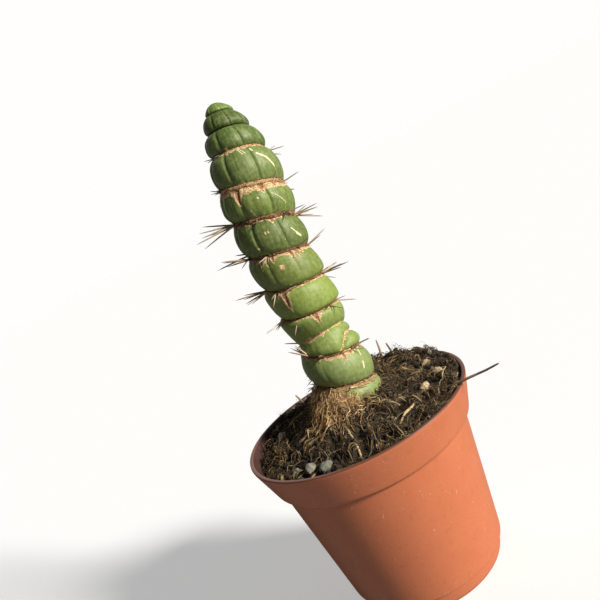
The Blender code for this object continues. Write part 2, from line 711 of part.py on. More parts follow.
def make_loose_pieces(parts, cutters):
    """Pebbles, straws and twigs, each with a slightly larger cutter for its bed in the soil."""
    stone = new_material("grey_grit", (0.42, 0.40, 0.34), 0.85)
    straw = new_material("dry_straw", (0.42, 0.29, 0.13), 0.8)
    bark = new_material("twig_bark", (0.20, 0.13, 0.09), 0.8)
    made = []
    for number, spot in enumerate(PEBBLES, 1):
        made.append((pebble_mesh(f"pebble_{number}", spot, parts), stone))
        pebble_mesh(f"pebble_cutter_{number}", spot, cutters, GAP)
    for number, spot in enumerate(STRAWS, 1):
        points, radii = straw_route(spot)
        made.append((tube(f"straw_{number}", points, radii, parts), straw))
        tube(f"straw_cutter_{number}", points, radii, cutters, GAP)
    for number, spot in enumerate(TWIGS, 1):
        points, radii = twig_route(spot)
        made.append((tube(f"twig_{number}", points, radii, parts), bark))
        tube(f"twig_cutter_{number}", points, radii, cutters, GAP)
    points = [(x * MM, y * MM, POT_HEIGHT + z * MM) for x, y, z in RIM_TWIG]
    radii = [RIM_TWIG_RADIUS * (1.1 - 0.1 * index) for index in range(len(points))]
    made.append((tube("twig_over_rim", points, radii, parts), bark))
    tube("rim_twig_cutter", points, radii, cutters, GAP)
    for obj, material in made:
        finish_mesh(obj, material, 50)


def main():
    for obj in list(bpy.data.objects):
        bpy.data.objects.remove(obj, do_unlink=True)
    parts = new_collection("potted_eulychnia_cactus")
    cutters = new_collection("cutters", hidden=True)
    make_pot(parts, cutters)
    stem = make_stem(parts)
    make_spines(parts, stem)
    soil = make_soil(parts, cutters)
    make_loose_pieces(parts, cutters)
    boolean(soil, "DIFFERENCE", cutters)
    remove_objects(cutters)


main()
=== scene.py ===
"""Looks of the potted eulychnia cactus: a spiral-ribbed stem in a small stepped nursery pot.

Metres, +Z up, the origin in the middle of the pot's underside, -Y the front. The stem's skin is
described by `turn`, how far round the spiral the groove above a point has come, and `share`,
0 at that groove and 1 at the groove below.
"""

import math

import bmesh
import bpy
import numpy as np
from mathutils import Matrix, Vector, noise


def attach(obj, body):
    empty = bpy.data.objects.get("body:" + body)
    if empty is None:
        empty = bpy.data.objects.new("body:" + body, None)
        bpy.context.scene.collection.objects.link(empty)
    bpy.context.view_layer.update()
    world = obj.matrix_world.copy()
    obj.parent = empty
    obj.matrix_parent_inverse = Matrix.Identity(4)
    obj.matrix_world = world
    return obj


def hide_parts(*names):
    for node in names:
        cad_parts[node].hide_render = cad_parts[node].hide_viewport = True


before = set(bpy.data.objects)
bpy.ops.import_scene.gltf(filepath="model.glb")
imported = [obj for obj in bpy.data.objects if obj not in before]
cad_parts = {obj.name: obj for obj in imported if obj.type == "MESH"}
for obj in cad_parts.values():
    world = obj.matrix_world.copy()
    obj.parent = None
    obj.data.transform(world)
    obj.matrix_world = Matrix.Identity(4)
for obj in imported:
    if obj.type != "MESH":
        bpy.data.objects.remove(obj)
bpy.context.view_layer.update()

MM = 0.001
TINY = 1e-9
# Points that lie closer than this are joined, in most pieces and in the stem's fine sheet
WELD = 0.005 * MM
SEAM = 0.002 * MM
# A strand that rises more steeply than this takes X as its guide, and any other takes Z
STEEP = 0.8
TAU = 2 * math.pi

# View: the camera's place, where it looks and how far it is turned about its own axis
CAMERA_PLACE = (0.0, -0.2830, 0.1901)
CAMERA_AIM = (0.00216, 0.98104, -0.19378)
CAMERA_ROLL = math.radians(-26.88)
CAMERA_LENS = 42.0
# Lights: name, where it comes from, strength and how wide it is
SUNS = [
    ("sun", (0.78, -0.55, 0.40), 6.4, math.radians(12)),
    ("back", (-0.15, 1.0, 0.35), 0.65, math.radians(60)),
]
SUN_COLOUR = (1.0, 0.94, 0.86)
SKY_COLOUR = (1.0, 0.99, 0.97, 1)
FILL_LIGHT = 0.10
BACKGROUND = 1.0
FLOOR_HALF = 4.0
FLOOR_GLOW = 0.35
FLOOR_SEEN = (0.675, 0.700, 0.730)
FLOOR_LIGHT = (0.34, 0.34, 0.34)

# Pot, outside, from the rim down
POT_HEIGHT = 81 * MM
RIM_RADIUS = 50 * MM
COLLAR_FOOT_RADIUS = 45.4 * MM
COLLAR_DEPTH = 15.5 * MM
BODY_TOP_RADIUS = 43 * MM
LIP_RADIUS = 35.4 * MM
LIP_DEPTH = 73.6 * MM
FOOT_TOP_RADIUS = 34 * MM
FOOT_RADIUS = 32.2 * MM
WALL = 1.6 * MM
FLOOR = 2.2 * MM
POT_STEPS = 256
NOTCH_COUNT = 4
NOTCH_FIRST_ANGLE = math.radians(-10)
NOTCH_LENGTH = 10 * MM
NOTCH_WIDTH = 9 * MM
NOTCH_HEIGHT = 4.6 * MM
NOTCH_INNER_RADIUS = 29.5 * MM
NOTCH_ROUNDING = 0.9 * MM
SHARP_ANGLE = math.radians(50)
# Scuffs: the slant of a set, and the size of the patches that it shows in, in mm
SCUFFS = ((0.15, 7.0), (-0.5, 11.0), (0.9, 13.0))

# Stem: heights of the spiral groove above the rim at the left (-X) and right (+X) side, in mm
GROOVES_LEFT = [135.5, 128.5, 119.5, 106.5, 92.5, 77.5, 62.8, 49.3, 32.6, 17.5, 2.5]
GROOVES_RIGHT = [133.2, 125.0, 114.5, 98.5, 85.0, 71.5, 58.6, 45.8, 24.5, 9.5, -5.0]
TIP_HEIGHT = 139.5
STEM_RADIUS = 14.2 * MM
SHOULDER_HEIGHT = 102 * MM
SHOULDER_POWER = 1.8
WAIST_HEIGHT = 36 * MM
WAIST_SPAN = 8 * MM
WAIST_DEPTH = 1.1 * MM
SWELL_HEIGHT = 102 * MM
SWELL_SPAN = 18 * MM
SWELL = 0.8 * MM
GROOVE_DEPTH = 3.7 * MM
LOBE_POWER = 0.55
FOOT_LEVEL = 5.0 * MM
FOOT_BLEND = 5.0 * MM
BURIED_RADIUS = 13.2 * MM
BASE_X = 2.6 * MM
BASE_Y = 3.0 * MM
LEAN_X = 2.4 * MM
LEAN_X_FROM = 80 * MM
LEAN_X_TO = 125 * MM
SAG_X = 0.9 * MM
SAG_HEIGHT = 70 * MM
SAG_SPAN = 16 * MM
LEAN_Y = 11.5 * MM
LEAN_Y_FROM = 62 * MM
LEAN_Y_POWER = 1.7
CREASES = 8
CREASE_PHASE = 0.05
CREASE_HEIGHTS = (58 * MM, 92 * MM)
WAVE_DEPTH = 0.30 * MM
CREASE_DEPTH = 0.65 * MM
CREASE_WIDTH = 0.008
WRINKLE_DEPTH = 0.22 * MM
STEM_COLUMNS = 280
STEM_ROWS = 27
FIRST_TURN = -1.25
TIP_LEVEL = -0.25
LAST_TURN = 11.4

# The two wedge lobes: short grooves that leave the main one at these turns and fade out
WEDGE_TURNS = (7.45, 7.79)
WEDGE_SHARES = (0.36, 0.54)
WEDGE_START = 0.2
WEDGE_OPEN = (0.60, 0.14)
WEDGE_FULLNESS = 2.0
WEDGE_FADE = (0.66, 0.94)

# Marks on the skin. Cork wedges under the groove: turn, length and width in mm
CORK_WEDGES = [
    (3.672, 6.8, 4.6), (3.79, 4.2, 5.6), (3.745, 1.8, 2.4), (3.86, 3.2, 2.4), (3.905, 3.6, 3.0),
    (4.78, 2.6, 3.4), (5.642, 6.0, 2.4), (5.672, 4.6, 2.2), (5.706, 4.0, 2.4), (5.802, 4.2, 3.0),
    (5.835, 4.0, 2.8), (5.865, 2.6, 2.8), (6.674, 8.8, 4.8), (6.655, 3.4, 1.6), (7.762, 7.6, 5.4),
    (7.735, 2.2, 2.0), (8.80, 4.4, 2.4), (8.845, 2.2, 2.6),
]
# Cream scratches, and a painted highlight among them: turn and share at both ends, and the width in mm
SCRATCHES_AND_HIGHLIGHT = [
    (2.834, 0.36, 2.873, 0.48, 0.80), (2.872, 0.48, 2.897, 0.68, 0.90), (2.818, 0.18, 2.822, 0.26, 0.7),
    (2.755, 0.10, 2.772, 0.33, 0.34), (2.762, 0.08, 2.785, 0.30, 0.32), (3.82, 0.36, 3.882, 0.76, 0.36),
    (4.848, 0.40, 4.872, 0.56, 0.5), (4.868, 0.56, 4.888, 0.66, 1.0), (3.755, 0.40, 3.760, 0.44, 0.6),
    # The first mark here, at turn 8.87 on a low lobe, is partly a cream scar and partly a painted
    # highlight
    (8.872, 0.46, 8.862, 0.66, 0.75), (8.90, 0.10, 8.885, 0.26, 0.5), (3.705, 0.04, 3.70, 0.18, 0.34),
    (3.70, 0.18, 3.682, 0.32, 0.34), (3.655, 0.50, 3.642, 0.84, 0.28), (3.71, 0.70, 3.718, 0.92, 0.28),
    (5.73, 0.79, 5.732, 0.82, 0.45), (6.59, 0.58, 6.592, 0.62, 0.45), (4.80, 0.62, 4.802, 0.65, 0.4),
]
SCRATCH_AND_HIGHLIGHT_RAMP = 1.2
# How far the marks stand out or lie deeper, in mm
CORK_RISE = 0.20
CORE_DEPTH = 0.30
SCRATCH_AND_HIGHLIGHT_DEPTH = 0.10
# Tan blots: turn, share and radius in mm
BLOTS = [
    (5.728, 0.38, 0.75), (5.742, 0.375, 0.5), (4.728, 0.37, 0.55), (4.742, 0.35, 0.45), (4.67, 0.72, 0.5),
    (1.70, 0.93, 0.6), (2.695, 0.12, 0.7), (6.622, 0.40, 0.7), (3.86, 0.18, 0.7), (3.90, 0.20, 0.55),
]

# Where cork is left to a rule, in turns, and which part of a turn the front view shows
FIRST_CORK = 3.4
SEEN_SIDE = (0.55, 0.95)

# Felt in the groove, its fuzz, and the spines
BAND_FROM = 2.42
BAND_TO = 9.98
FELT_STEPS = 170
FELT_SIDES = 10
FELT_LIFT = 0.7 * MM
FELT_RADIUS = 1.05 * MM
FELT_FILLS = (3.25, 3.5)
FELT_THINS = (5.2, 5.7)
LAST_TURN_THINS = (9.2, 9.5)
FUZZ_COUNT = 7500
FUZZ_LENGTHS = (0.8, 2.7)
FUZZ_RADII = (0.085, 0.02)
AREOLES_PER_TURN = 9
SPINES_EACH = (3, 7)
SPINE_POINTS = 7
SPINE_SIDES = 6
SPINE_ROOT_RADIUS = 0.40 * MM
# Clusters that the front view shows: turn, rise and fan in degrees, longest in mm, spines
CLUSTERS = [
    (3.06, 0, 36, 6.5, 3), (5.0, -4, 22, 11.5, 6), (4.53, 6, 16, 17.5, 6), (6.0, 12, 12, 9.0, 2),
    (5.55, 18, 9, 14.5, 6), (6.97, 2, 7, 10.5, 6), (6.53, 0, 15, 12.5, 7), (6.63, -26, 12, 6.5, 4),
    (8.0, -16, 14, 6.5, 2), (7.54, -14, 16, 9.0, 5), (7.66, -34, 10, 6.0, 2), (8.60, 44, 14, 12.0, 4),
    (8.68, 24, 16, 6.5, 3), (8.99, 6, 20, 4.5, 2), (5.67, -24, 16, 3.5, 3), (4.72, -20, 24, 4.0, 3),
    (4.52, 27, 4, 12.5, 1),
]
CLUSTER_REACH = 0.12
SEEN_SPREAD = 38
OTHER_SPREAD = 60
YOUNG_TURNS = (3.6, 4.6)

# Soil
SOIL_EDGE_DROP = 3.2 * MM
SOIL_SLOPE = 5.5 * MM
SOIL_SLOPE_ANGLE = math.radians(50)
SOIL_MOUND = 9.5 * MM
SOIL_MOUND_RADIUS = 24 * MM
SOIL_MOUND_X = -5 * MM
SOIL_MOUND_Y = -5 * MM
SOIL_LUMPS = 1.7 * MM
SOIL_LUMP_SIZE = 7 * MM
SOIL_COLUMNS = 360
SOIL_RINGS = 80
SOIL_SIDE_DEPTHS = (8 * MM, 14.5 * MM, 17 * MM, 40 * MM)
SOIL_CORE = 12.2 * MM
SOIL_LEVEL = POT_HEIGHT - 2 * MM
SOIL_GAP = 0.25 * MM
STEM_CLEAR = 13.6 * MM
BARE_PLACE = (-27 * MM, -26 * MM)
BARE_RADIUS = 13 * MM
CLUMP_SIZE = 5.5 * MM
CELL = 0.8 * MM
CRUMBS = 5500
GRAIN_ROUGH = (0.55, 1.25)
GRAIN_FLAT = (0.6, 1.2)
# Sizes are drawn as low + gain * u**power mm, with u from 0 to 1
CRUMB_SIZES = (0.25, 1.25, 4)
# Layers on the soil: name, count, sides, lengths, curl, lift in mm, radii and their taper, and
# the lowest shade, its power and how far the clumps lighten it
LAYERS = [
    ("peat_fibres", 4800, 3, (1.2, 5.5, 1.4), 0.45, 1.2, (0.045, 0.15, 3),
     (0.7, 1, 1, 0.85, 0.25), (0, 1.3, 0.7)),
    ("peat_stalks", 420, 6, (2.5, 11, 2), 0.15, 1.3, (0.10, 0.26, 2),
     (0.5, 0.9, 1, 1, 0.95, 0.8, 0.35), (0.35, 1, 0.4)),
    ("peat_hairs", 900, 3, (4, 7, 1), 2.4, 1.6, (0.045, 0, 1),
     (1, 1, 1, 1, 0.9, 0.8, 0.6, 0.3), (0, 1, 0)),
]
WISPS = 90
WISP_ANGLES = (-84, -30)
WISP_LENGTHS = (2.5, 5.2)
WISP_TAPER = (1, 1, 1, 0.9, 0.7, 0.3)
# Roots: those round the foot or in the nest beside it, and those that hang down the foot
BASE_ROOTS = 600
CLIMBERS = 300
ROOT_TAPER = (0.8, 1, 1, 1, 1, 0.9, 0.8, 0.6, 0.3)
NEST_TURN = 0.63
NEST_SPAN = 1.0
NEST_START = 14.0 * MM
NEST_REACH = 10 * MM
NEST_RISE = 5.5 * MM

# Loose pieces: the start of the nodes' names, slot, subdivisions, relief and its size in mm
LOOSE_KINDS = [
    ("pebble", "grit", 3, 0.30, 1.4),
    ("straw", "dry_straw", 2, 0.08, 0.8),
    ("twig", "twig_bark", 2, 0.05, 1.2),
]
TAN_PEBBLES = ("pebble_4", "pebble_5", "pebble_6")

# Colours along ramps of 0 to 1
SKIN_STOPS = [
    (0.013, (0.136, 0.212, 0.038)), (0.055, (0.094, 0.148, 0.026)), (0.10, (0.048, 0.078, 0.012)),
    (0.19, (0.066, 0.108, 0.018)), (0.276, (0.126, 0.178, 0.046)), (0.364, (0.136, 0.190, 0.036)),
    (0.452, (0.084, 0.120, 0.024)), (0.54, (0.136, 0.176, 0.032)), (0.627, (0.205, 0.276, 0.048)),
    (0.715, (0.205, 0.275, 0.060)), (0.80, (0.194, 0.258, 0.084)),
]
CORK_STOPS = [(0.32, (0.22, 0.12, 0.055)), (0.5, (0.50, 0.33, 0.165)), (0.66, (0.70, 0.56, 0.34))]
CORE_STOPS = [(0.35, (0.14, 0.060, 0.030)), (0.65, (0.40, 0.22, 0.115))]
FELT_STOPS = [(0.30, (0.018, 0.011, 0.007)), (0.48, (0.085, 0.040, 0.018)),
              (0.62, (0.22, 0.115, 0.048)), (0.8, (0.45, 0.29, 0.14))]
FUZZ_STOPS = [(0.0, (0.10, 0.045, 0.02)), (0.5, (0.36, 0.17, 0.07)), (1.0, (0.72, 0.48, 0.24))]
SPINE_STOPS = [(0.0, (0.11, 0.078, 0.055)), (0.3, (0.28, 0.20, 0.135)),
               (0.65, (0.50, 0.39, 0.27)), (1.0, (0.74, 0.63, 0.46))]
SPINE_TIP = (0.07, 0.045, 0.035)
PEAT_STOPS = [(0.25, (0.006, 0.005, 0.004)), (0.5, (0.022, 0.016, 0.010)),
              (0.7, (0.065, 0.042, 0.022)), (0.85, (0.16, 0.10, 0.05))]
FIBRE_STOPS = [(0.0, (0.018, 0.011, 0.006)), (0.30, (0.080, 0.047, 0.020)),
               (0.60, (0.19, 0.118, 0.047)), (0.85, (0.42, 0.29, 0.13)), (1.0, (0.66, 0.54, 0.32))]
ROOT_STOPS = [(0.0, (0.24, 0.125, 0.050)), (0.5, (0.62, 0.39, 0.165)), (1.0, (0.92, 0.71, 0.40))]
CRUMB_STOPS = [(0.0, (0.008, 0.006, 0.005)), (0.7, (0.03, 0.022, 0.014)),
               (0.93, (0.10, 0.065, 0.035)), (1.0, (0.36, 0.31, 0.23))]
STONE_STOPS = [(0.0, (0.15, 0.155, 0.120)), (0.5, (0.26, 0.25, 0.20)), (1.0, (0.50, 0.38, 0.23))]
STRAW_STOPS = [(0.0, (0.42, 0.29, 0.14)), (1.0, (0.72, 0.56, 0.32))]
BARK_STOPS = [(0.0, (0.13, 0.095, 0.065)), (1.0, (0.44, 0.33, 0.23))]


def smooth(value, low, high):
    """0 below low, 1 above high and a smooth step between."""
    part = np.clip((np.asarray(value, float) - low) / (high - low), 0.0, 1.0)
    return part * part * (3 - 2 * part)


def bell(value, middle, span):
    return np.exp(-(((value - middle) / span) ** 2))


def noise_at(points, size, shift=0.0):
    """Smooth noise, -1 to 1, at each of many points, in space or on the level z = 0."""
    spots = np.asarray(points, float) / size
    if spots.shape[-1] == 2:
        spots = np.column_stack([spots, 0 * spots[:, 0]])
    return np.array([noise.noise(Vector(spot)) for spot in spots + shift])


def noise_of(x, y=0.0, z=0.0, shift=0.0):
    """Smooth noise, -1 to 1, at places given by their three coordinates."""
    return noise_at(np.stack(np.broadcast_arrays(x, y, z), -1), 1.0, shift)


def unit(vectors):
    return vectors / (np.linalg.norm(vectors, axis=-1, keepdims=True) + TINY)


class Paint:
    """A material and short calls for its nodes. `tone` is its colour so far."""

    def __init__(self, name, roughness):
        self.material = bpy.data.materials.new(name)
        self.material.use_nodes = True
        self.tree = self.material.node_tree
        self.surface = self.tree.nodes["Principled BSDF"]
        self.tone = None
        self.set("Roughness", roughness)

    def feed(self, socket, value):
        if isinstance(value, bpy.types.NodeSocket):
            self.tree.links.new(value, socket)
        else:
            socket.default_value = value

    def set(self, name, value):
        self.feed(self.surface.inputs[name], value)

    def node(self, kind, inputs, output=0, **settings):
        made = self.tree.nodes.new("ShaderNode" + kind)
        for key, value in settings.items():
            setattr(made, key, value)
        for key, value in inputs.items():
            self.feed(made.inputs[key], value)
        return made.outputs[output]

    def value(self, name):
        return self.node("Attribute", {}, "Fac", attribute_name=name)

    def place(self):
        """The object's own coordinates in millimetres."""
        spot = self.node("TexCoord", {}, "Object")
        return self.node("VectorMath", {0: spot, 1: (1 / MM,) * 3}, operation="MULTIPLY")

    def grain(self, size, detail=3.0, spot=None):
        """Noise from 0 to 1 whose lumps are about `size` millimetres."""
        spot = spot or self.place()
        return self.node("TexNoise", {"Vector": spot, "Scale": 1 / size, "Detail": detail})

    def dots(self, size, reach):
        """1 within `reach` of scattered points that lie about `size` millimetres apart."""
        inputs = {"Vector": self.place(), "Scale": 1 / size}
        return self.band(self.node("TexVoronoi", inputs, "Distance"), reach, reach * 0.4)

    def band(self, value, low, high):
        """0 at low and 1 at high, with a smooth step between."""
        inputs = {"Value": value, "From Min": low, "From Max": high}
        return self.node("MapRange", inputs, interpolation_type="SMOOTHSTEP")

    def span(self, value, low, high):
        """A value of 0 to 1 brought to low to high."""
        return self.node("MapRange", {"Value": value, "To Min": low, "To Max": high})

    def ragged(self, name, grit, worn, low, high):
        """A stored ramp, cut between low and high along an edge that the grain tears."""
        torn = self.calc("ADD", self.times(grit, worn), self.value(name))
        return self.band(torn, low + worn / 2, high + worn / 2)

    def calc(self, kind, one, other):
        return self.node("Math", {0: one, 1: other}, operation=kind)

    def times(self, one, other):
        return self.calc("MULTIPLY", one, other)

    def most(self, one, other):
        return self.calc("MAXIMUM", one, other)

    def mix(self, share, one, other):
        made = self.tree.nodes.new("ShaderNodeMix")
        made.data_type = "RGBA"
        self.feed(made.inputs[0], share)
        for number, colour in ((6, one), (7, other)):
            socket = isinstance(colour, bpy.types.NodeSocket)
            self.feed(made.inputs[number], colour if socket else (*colour, 1))
        return made.outputs[2]

    def tint(self, mask, colour, strength=None):
        """Brings a colour into the tone where the mask is high."""
        share = mask if strength is None else self.times(mask, strength)
        self.tone = self.mix(share, self.tone, colour)

    def ramp(self, value, stops):
        made = self.tree.nodes.new("ShaderNodeValToRGB")
        steps = made.color_ramp.elements
        while len(steps) < len(stops):
            steps.new(0.5)
        for step, (spot, colour) in zip(steps, stops):
            step.position = spot
            step.color = (*colour, 1)
        self.feed(made.inputs[0], value)
        return made.outputs[0]

    def done(self, relief=None, depth=0.0):
        """The material, with its colour and a relief of `depth` millimetres from 0 to 1."""
        self.set("Base Color", self.tone)
        if relief:
            bump = {"Height": relief, "Distance": depth * MM, "Strength": 1.0}
            self.set("Normal", self.node("Bump", bump))
        return self.material


def linked(name, data):
    """A new object in the scene."""
    obj = bpy.data.objects.new(name, data)
    bpy.context.scene.collection.objects.link(obj)
    return obj


def mesh_object(name, points, faces, **values):
    """An object from points and faces, with named values at its points."""
    mesh = bpy.data.meshes.new(name)
    mesh.from_pydata(np.asarray(points).reshape(-1, 3).tolist(), [], faces)
    mesh.shade_smooth()
    for key, numbers in values.items():
        store(mesh, key, numbers)
    return linked(name, mesh)


def store(mesh, key, numbers):
    layer = mesh.attributes.new(key, "FLOAT", "POINT")
    layer.data.foreach_set("value", np.asarray(numbers, np.float32).ravel())


def quads(corners):
    return np.stack(corners, -1).reshape(-1, 4).tolist()


def closed_grid(rows, columns):
    """The quads of a grid that closes on itself both ways."""
    row = np.arange(rows)[:, None]
    col = np.arange(columns)
    here, on_row, on_col = row * columns, (row + 1) % rows * columns, (col + 1) % columns
    return quads([here + col, on_row + col, on_row + on_col, here + on_col])


def mend(mesh, gap, fill=False):
    """Joins points closer than gap, drops what has no size, and turns all faces outward."""
    bm = bmesh.new()
    bm.from_mesh(mesh)
    bmesh.ops.remove_doubles(bm, verts=bm.verts, dist=gap)
    bmesh.ops.dissolve_degenerate(bm, edges=bm.edges, dist=gap)
    if fill:
        bmesh.ops.holes_fill(bm, edges=[edge for edge in bm.edges if edge.is_boundary])
    bmesh.ops.recalc_face_normals(bm, faces=bm.faces)
    bm.to_mesh(mesh)
    bm.free()


def apply_modifiers(obj):
    graph = bpy.context.evaluated_depsgraph_get()
    made = bpy.data.meshes.new_from_object(obj.evaluated_get(graph))
    obj.modifiers.clear()
    obj.data = made


def dress(obj, material, slot, *nodes):
    """Gives a piece its material and its body, and hides the nodes it stands for. The slot is not used.
    """
    obj.data.materials.clear()
    obj.data.materials.append(material)
    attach(obj, "root")
    if nodes:
        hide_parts(*nodes)


def strands(name, routes, radii, sides, shades):
    """Round strands: routes are strands x points x 3 and radii strands x points."""
    count, points, _ = routes.shape
    along = unit(np.gradient(routes, axis=1))
    steep = np.abs(along[:, :1, 2:]) > STEEP
    guide = np.where(steep, np.array([1.0, 0.0, 0.0]), np.array([0.0, 0.0, 1.0]))
    across = unit(np.cross(along, guide))
    over = np.cross(along, across)
    angles = (np.arange(sides) * TAU / sides)[:, None]
    ring = np.cos(angles) * across[:, :, None, :] + np.sin(angles) * over[:, :, None, :]
    spots = routes[:, :, None, :] + ring * radii[:, :, None, None]
    first = np.arange(sides)
    starts = (np.arange(count) * points * sides)[:, None]
    here = (starts + np.arange(points - 1) * sides)[:, :, None]
    after = (first + 1) % sides
    faces = quads([here + first, here + after, here + after + sides, here + first + sides])
    faces += (starts + first[::-1]).tolist()
    faces += (starts + first + (points - 1) * sides).tolist()
    whole = (count, points, sides)
    way = np.broadcast_to(np.linspace(0, 1, points)[None, :, None], whole)
    shade = np.broadcast_to(np.asarray(shades)[:, None, None], whole)
    return mesh_object(name, spots, faces, along=way, shade=shade)


def lumps(name, places, sizes, shades, draw):
    """Small uneven grains, each a bent twenty-sided solid with plain faces."""
    bm = bmesh.new()
    bmesh.ops.create_icosphere(bm, subdivisions=1, radius=1)
    base = np.array([vert.co for vert in bm.verts])
    faces = np.array([[vert.index for vert in face.verts] for face in bm.faces])
    bm.free()
    count = len(places)
    forms = base[None] * draw.uniform(*GRAIN_ROUGH, (count, len(base), 1))
    forms = forms * draw.uniform(*GRAIN_FLAT, (count, 1, 3)) * sizes[:, None, None]
    points = rotated(forms, unit(draw.normal(size=(count, 4)))) + places[:, None, :]
    starts = (np.arange(count) * len(base))[:, None, None]
    shade = np.broadcast_to(shades[:, None], (count, len(base)))
    grains = mesh_object(name, points, (faces[None] + starts).reshape(-1, 3).tolist(), shade=shade)
    grains.data.shade_flat()
    return grains


def rotated(forms, turns):
    """Each form's points turned by its quaternion."""
    real, part = turns[:, None, :1], turns[:, None, 1:]
    cross = np.cross(np.broadcast_to(part, forms.shape), forms) * 2
    return forms + real * cross + np.cross(np.broadcast_to(part, forms.shape), cross)


def groove_height(turn):
    """Height of the spiral groove, and of any point whose turn plus share is `turn`."""
    known = [TIP_HEIGHT + 0.6, TIP_HEIGHT - 0.5]
    for left, right in zip(GROOVES_LEFT, GROOVES_RIGHT):
        known += [left, right]
    known = np.array(known)
    position = np.maximum((np.asarray(turn, float) + 0.5) * 2, 0.0)
    index = np.clip(np.floor(position).astype(int), 0, len(known) - 2)
    steps = np.diff(known)
    slopes = np.concatenate([steps[:1], 2 * steps[:-1] * steps[1:] / (steps[:-1] + steps[1:]),
                             steps[-1:]])
    part = np.minimum(position - index, 1.0)
    rise = part * part * (3 - 2 * part)
    height = known[index] * (1 - rise) + known[index + 1] * rise
    height += slopes[index] * part * (1 - part) ** 2 + slopes[index + 1] * part * part * (part - 1)
    beyond = np.maximum(position - index - 1, 0.0) * slopes[-1]
    return np.minimum(height + beyond, TIP_HEIGHT) * MM


def crest_radius(height):
    waist = WAIST_DEPTH * bell(height, WAIST_HEIGHT, WAIST_SPAN)
    radius = STEM_RADIUS - waist + SWELL * bell(height, SWELL_HEIGHT, SWELL_SPAN)
    part = np.clip((height - SHOULDER_HEIGHT) / (TIP_HEIGHT * MM - SHOULDER_HEIGHT), 0, 1)
    return radius * np.sqrt(1 - part**SHOULDER_POWER)


def lobe_rise(share):
    return np.clip(4 * share * (1 - share), 0, None) ** LOBE_POWER


def wedge_strength(turn):
    way = turn - WEDGE_TURNS[0]
    return np.where(way > 0, 1 - smooth(way, *WEDGE_FADE), 0.0)


def wedge_cuts(turn):
    cuts = []
    for start, share, reach in zip(WEDGE_TURNS, WEDGE_SHARES, WEDGE_OPEN):
        cuts.append(1 - (1 - share) * np.sin(np.clip((turn - start) / reach, 0, 1) * math.pi / 2))
    return cuts


def lobe_profile(turn, share):
    """0 in a groove and 1 on a full crest, with the short grooves of the wedge lobes."""
    strength = wedge_strength(turn)
    first, second = wedge_cuts(turn)
    low = np.where(share <= first, 0.0, np.where(share <= second, first, second))
    high = np.where(share <= first, first, np.where(share <= second, second, 1.0))
    width = np.maximum(high - low, TINY)
    part = np.clip((share - low) / width, 0, 1)
    size = np.minimum(1.0, WEDGE_FULLNESS * width) ** 0.5
    return lobe_rise(share) * (1 - strength) + strength * lobe_rise(part) * size


def row_share(turn, row):
    """Share of a mesh row, 0 to 1: rows gather at the grooves and follow the short ones."""
    plain = 0.5 - 0.5 * np.cos(math.pi * row)
    strength = wedge_strength(turn) * smooth(turn - WEDGE_TURNS[0], 0.0, WEDGE_START)
    first, second = wedge_cuts(turn)
    opened = smooth(turn - WEDGE_TURNS[1], 0.0, WEDGE_OPEN[1])
    second = second * opened + (first + 1) / 2 * (1 - opened)
    third = np.minimum((row * 3).astype(int), 2)
    low = np.choose(third, [0.0 * turn, first, second])
    high = np.choose(third, [first, second, 0.0 * turn + 1])
    split = low + (0.5 - 0.5 * np.cos(math.pi * (row * 3 - third))) * (high - low)
    return plain * (1 - strength) + split * strength


def stem_axis(height):
    """The stem's middle at each height above the rim, and its lean away from the front."""
    tip = TIP_HEIGHT * MM
    over_y = np.maximum((height - LEAN_Y_FROM) / (tip - LEAN_Y_FROM), 0.0)
    x = BASE_X + LEAN_X * smooth(height, LEAN_X_FROM, LEAN_X_TO)
    x = x - SAG_X * bell(height, SAG_HEIGHT, SAG_SPAN)
    y = BASE_Y + LEAN_Y * over_y**LEAN_Y_POWER
    slope = LEAN_Y_POWER * LEAN_Y * over_y ** (LEAN_Y_POWER - 1) / (tip - LEAN_Y_FROM)
    return np.stack([x, y, POT_HEIGHT + height], -1), np.arctan(slope)


def skin_relief(turn, share, height):
    """How far the creases and wrinkles lie below the smooth skin."""
    slim = crest_radius(height) / STEM_RADIUS
    strength = (0.15 + 0.85 * smooth(height, *CREASE_HEIGHTS)) * slim
    turn = turn - CREASE_PHASE
    wave = (0.5 + 0.5 * np.cos(TAU * CREASES * turn)) ** 3
    number = np.round(turn * CREASES)
    sway = noise_of(number * 1.7, share * 1.2, shift=3.3)
    away = turn - number / CREASES - 0.012 * sway
    force = 0.35 + 0.65 * np.abs(np.sin(number * 12.9898) * 43.758 % 1.0)
    crease = force * bell(away, 0, CREASE_WIDTH) * lobe_rise(share) ** 0.4
    fine = noise_of(turn * 55, share * 2.5 + turn)
    edge = 0.35 + 0.65 * (1 - smooth(np.minimum(share, 1 - share), 0.03, 0.3))
    return (WAVE_DEPTH * strength * wave * lobe_rise(share) + CREASE_DEPTH * strength * crease
            + WRINKLE_DEPTH * (0.4 + 0.6 * strength) * slim * edge * (0.5 + fine))


def stem_radius(turn, share, height):
    crest = crest_radius(height)
    slim = np.minimum(crest / STEM_RADIUS, 1.0)
    depth = GROOVE_DEPTH * slim * smooth(height, FOOT_LEVEL, FOOT_LEVEL + FOOT_BLEND)
    buried = 1 - smooth(height, FOOT_LEVEL - 1 * MM, FOOT_LEVEL + FOOT_BLEND)
    radius = crest - depth * (1 - lobe_profile(turn, share))
    return radius + (BURIED_RADIUS - radius) * buried


def skin_frame(turn, share=0.0):
    """Middle, and the outward, along and up directions at places on the skin."""
    middle, lean = stem_axis(groove_height(turn + share))
    angle = TAU * turn
    zero = 0 * angle
    away = np.stack([zero, np.cos(lean), -np.sin(lean)], -1)
    up = np.stack([zero, np.sin(lean), np.cos(lean)], -1)
    across = np.stack([zero + 1, zero, zero], -1)
    outward = np.cos(angle)[:, None] * across + np.sin(angle)[:, None] * away
    return middle, outward, np.cross(up, outward), up


def groove_radius(turn):
    return stem_radius(turn, 0 * turn, groove_height(turn))


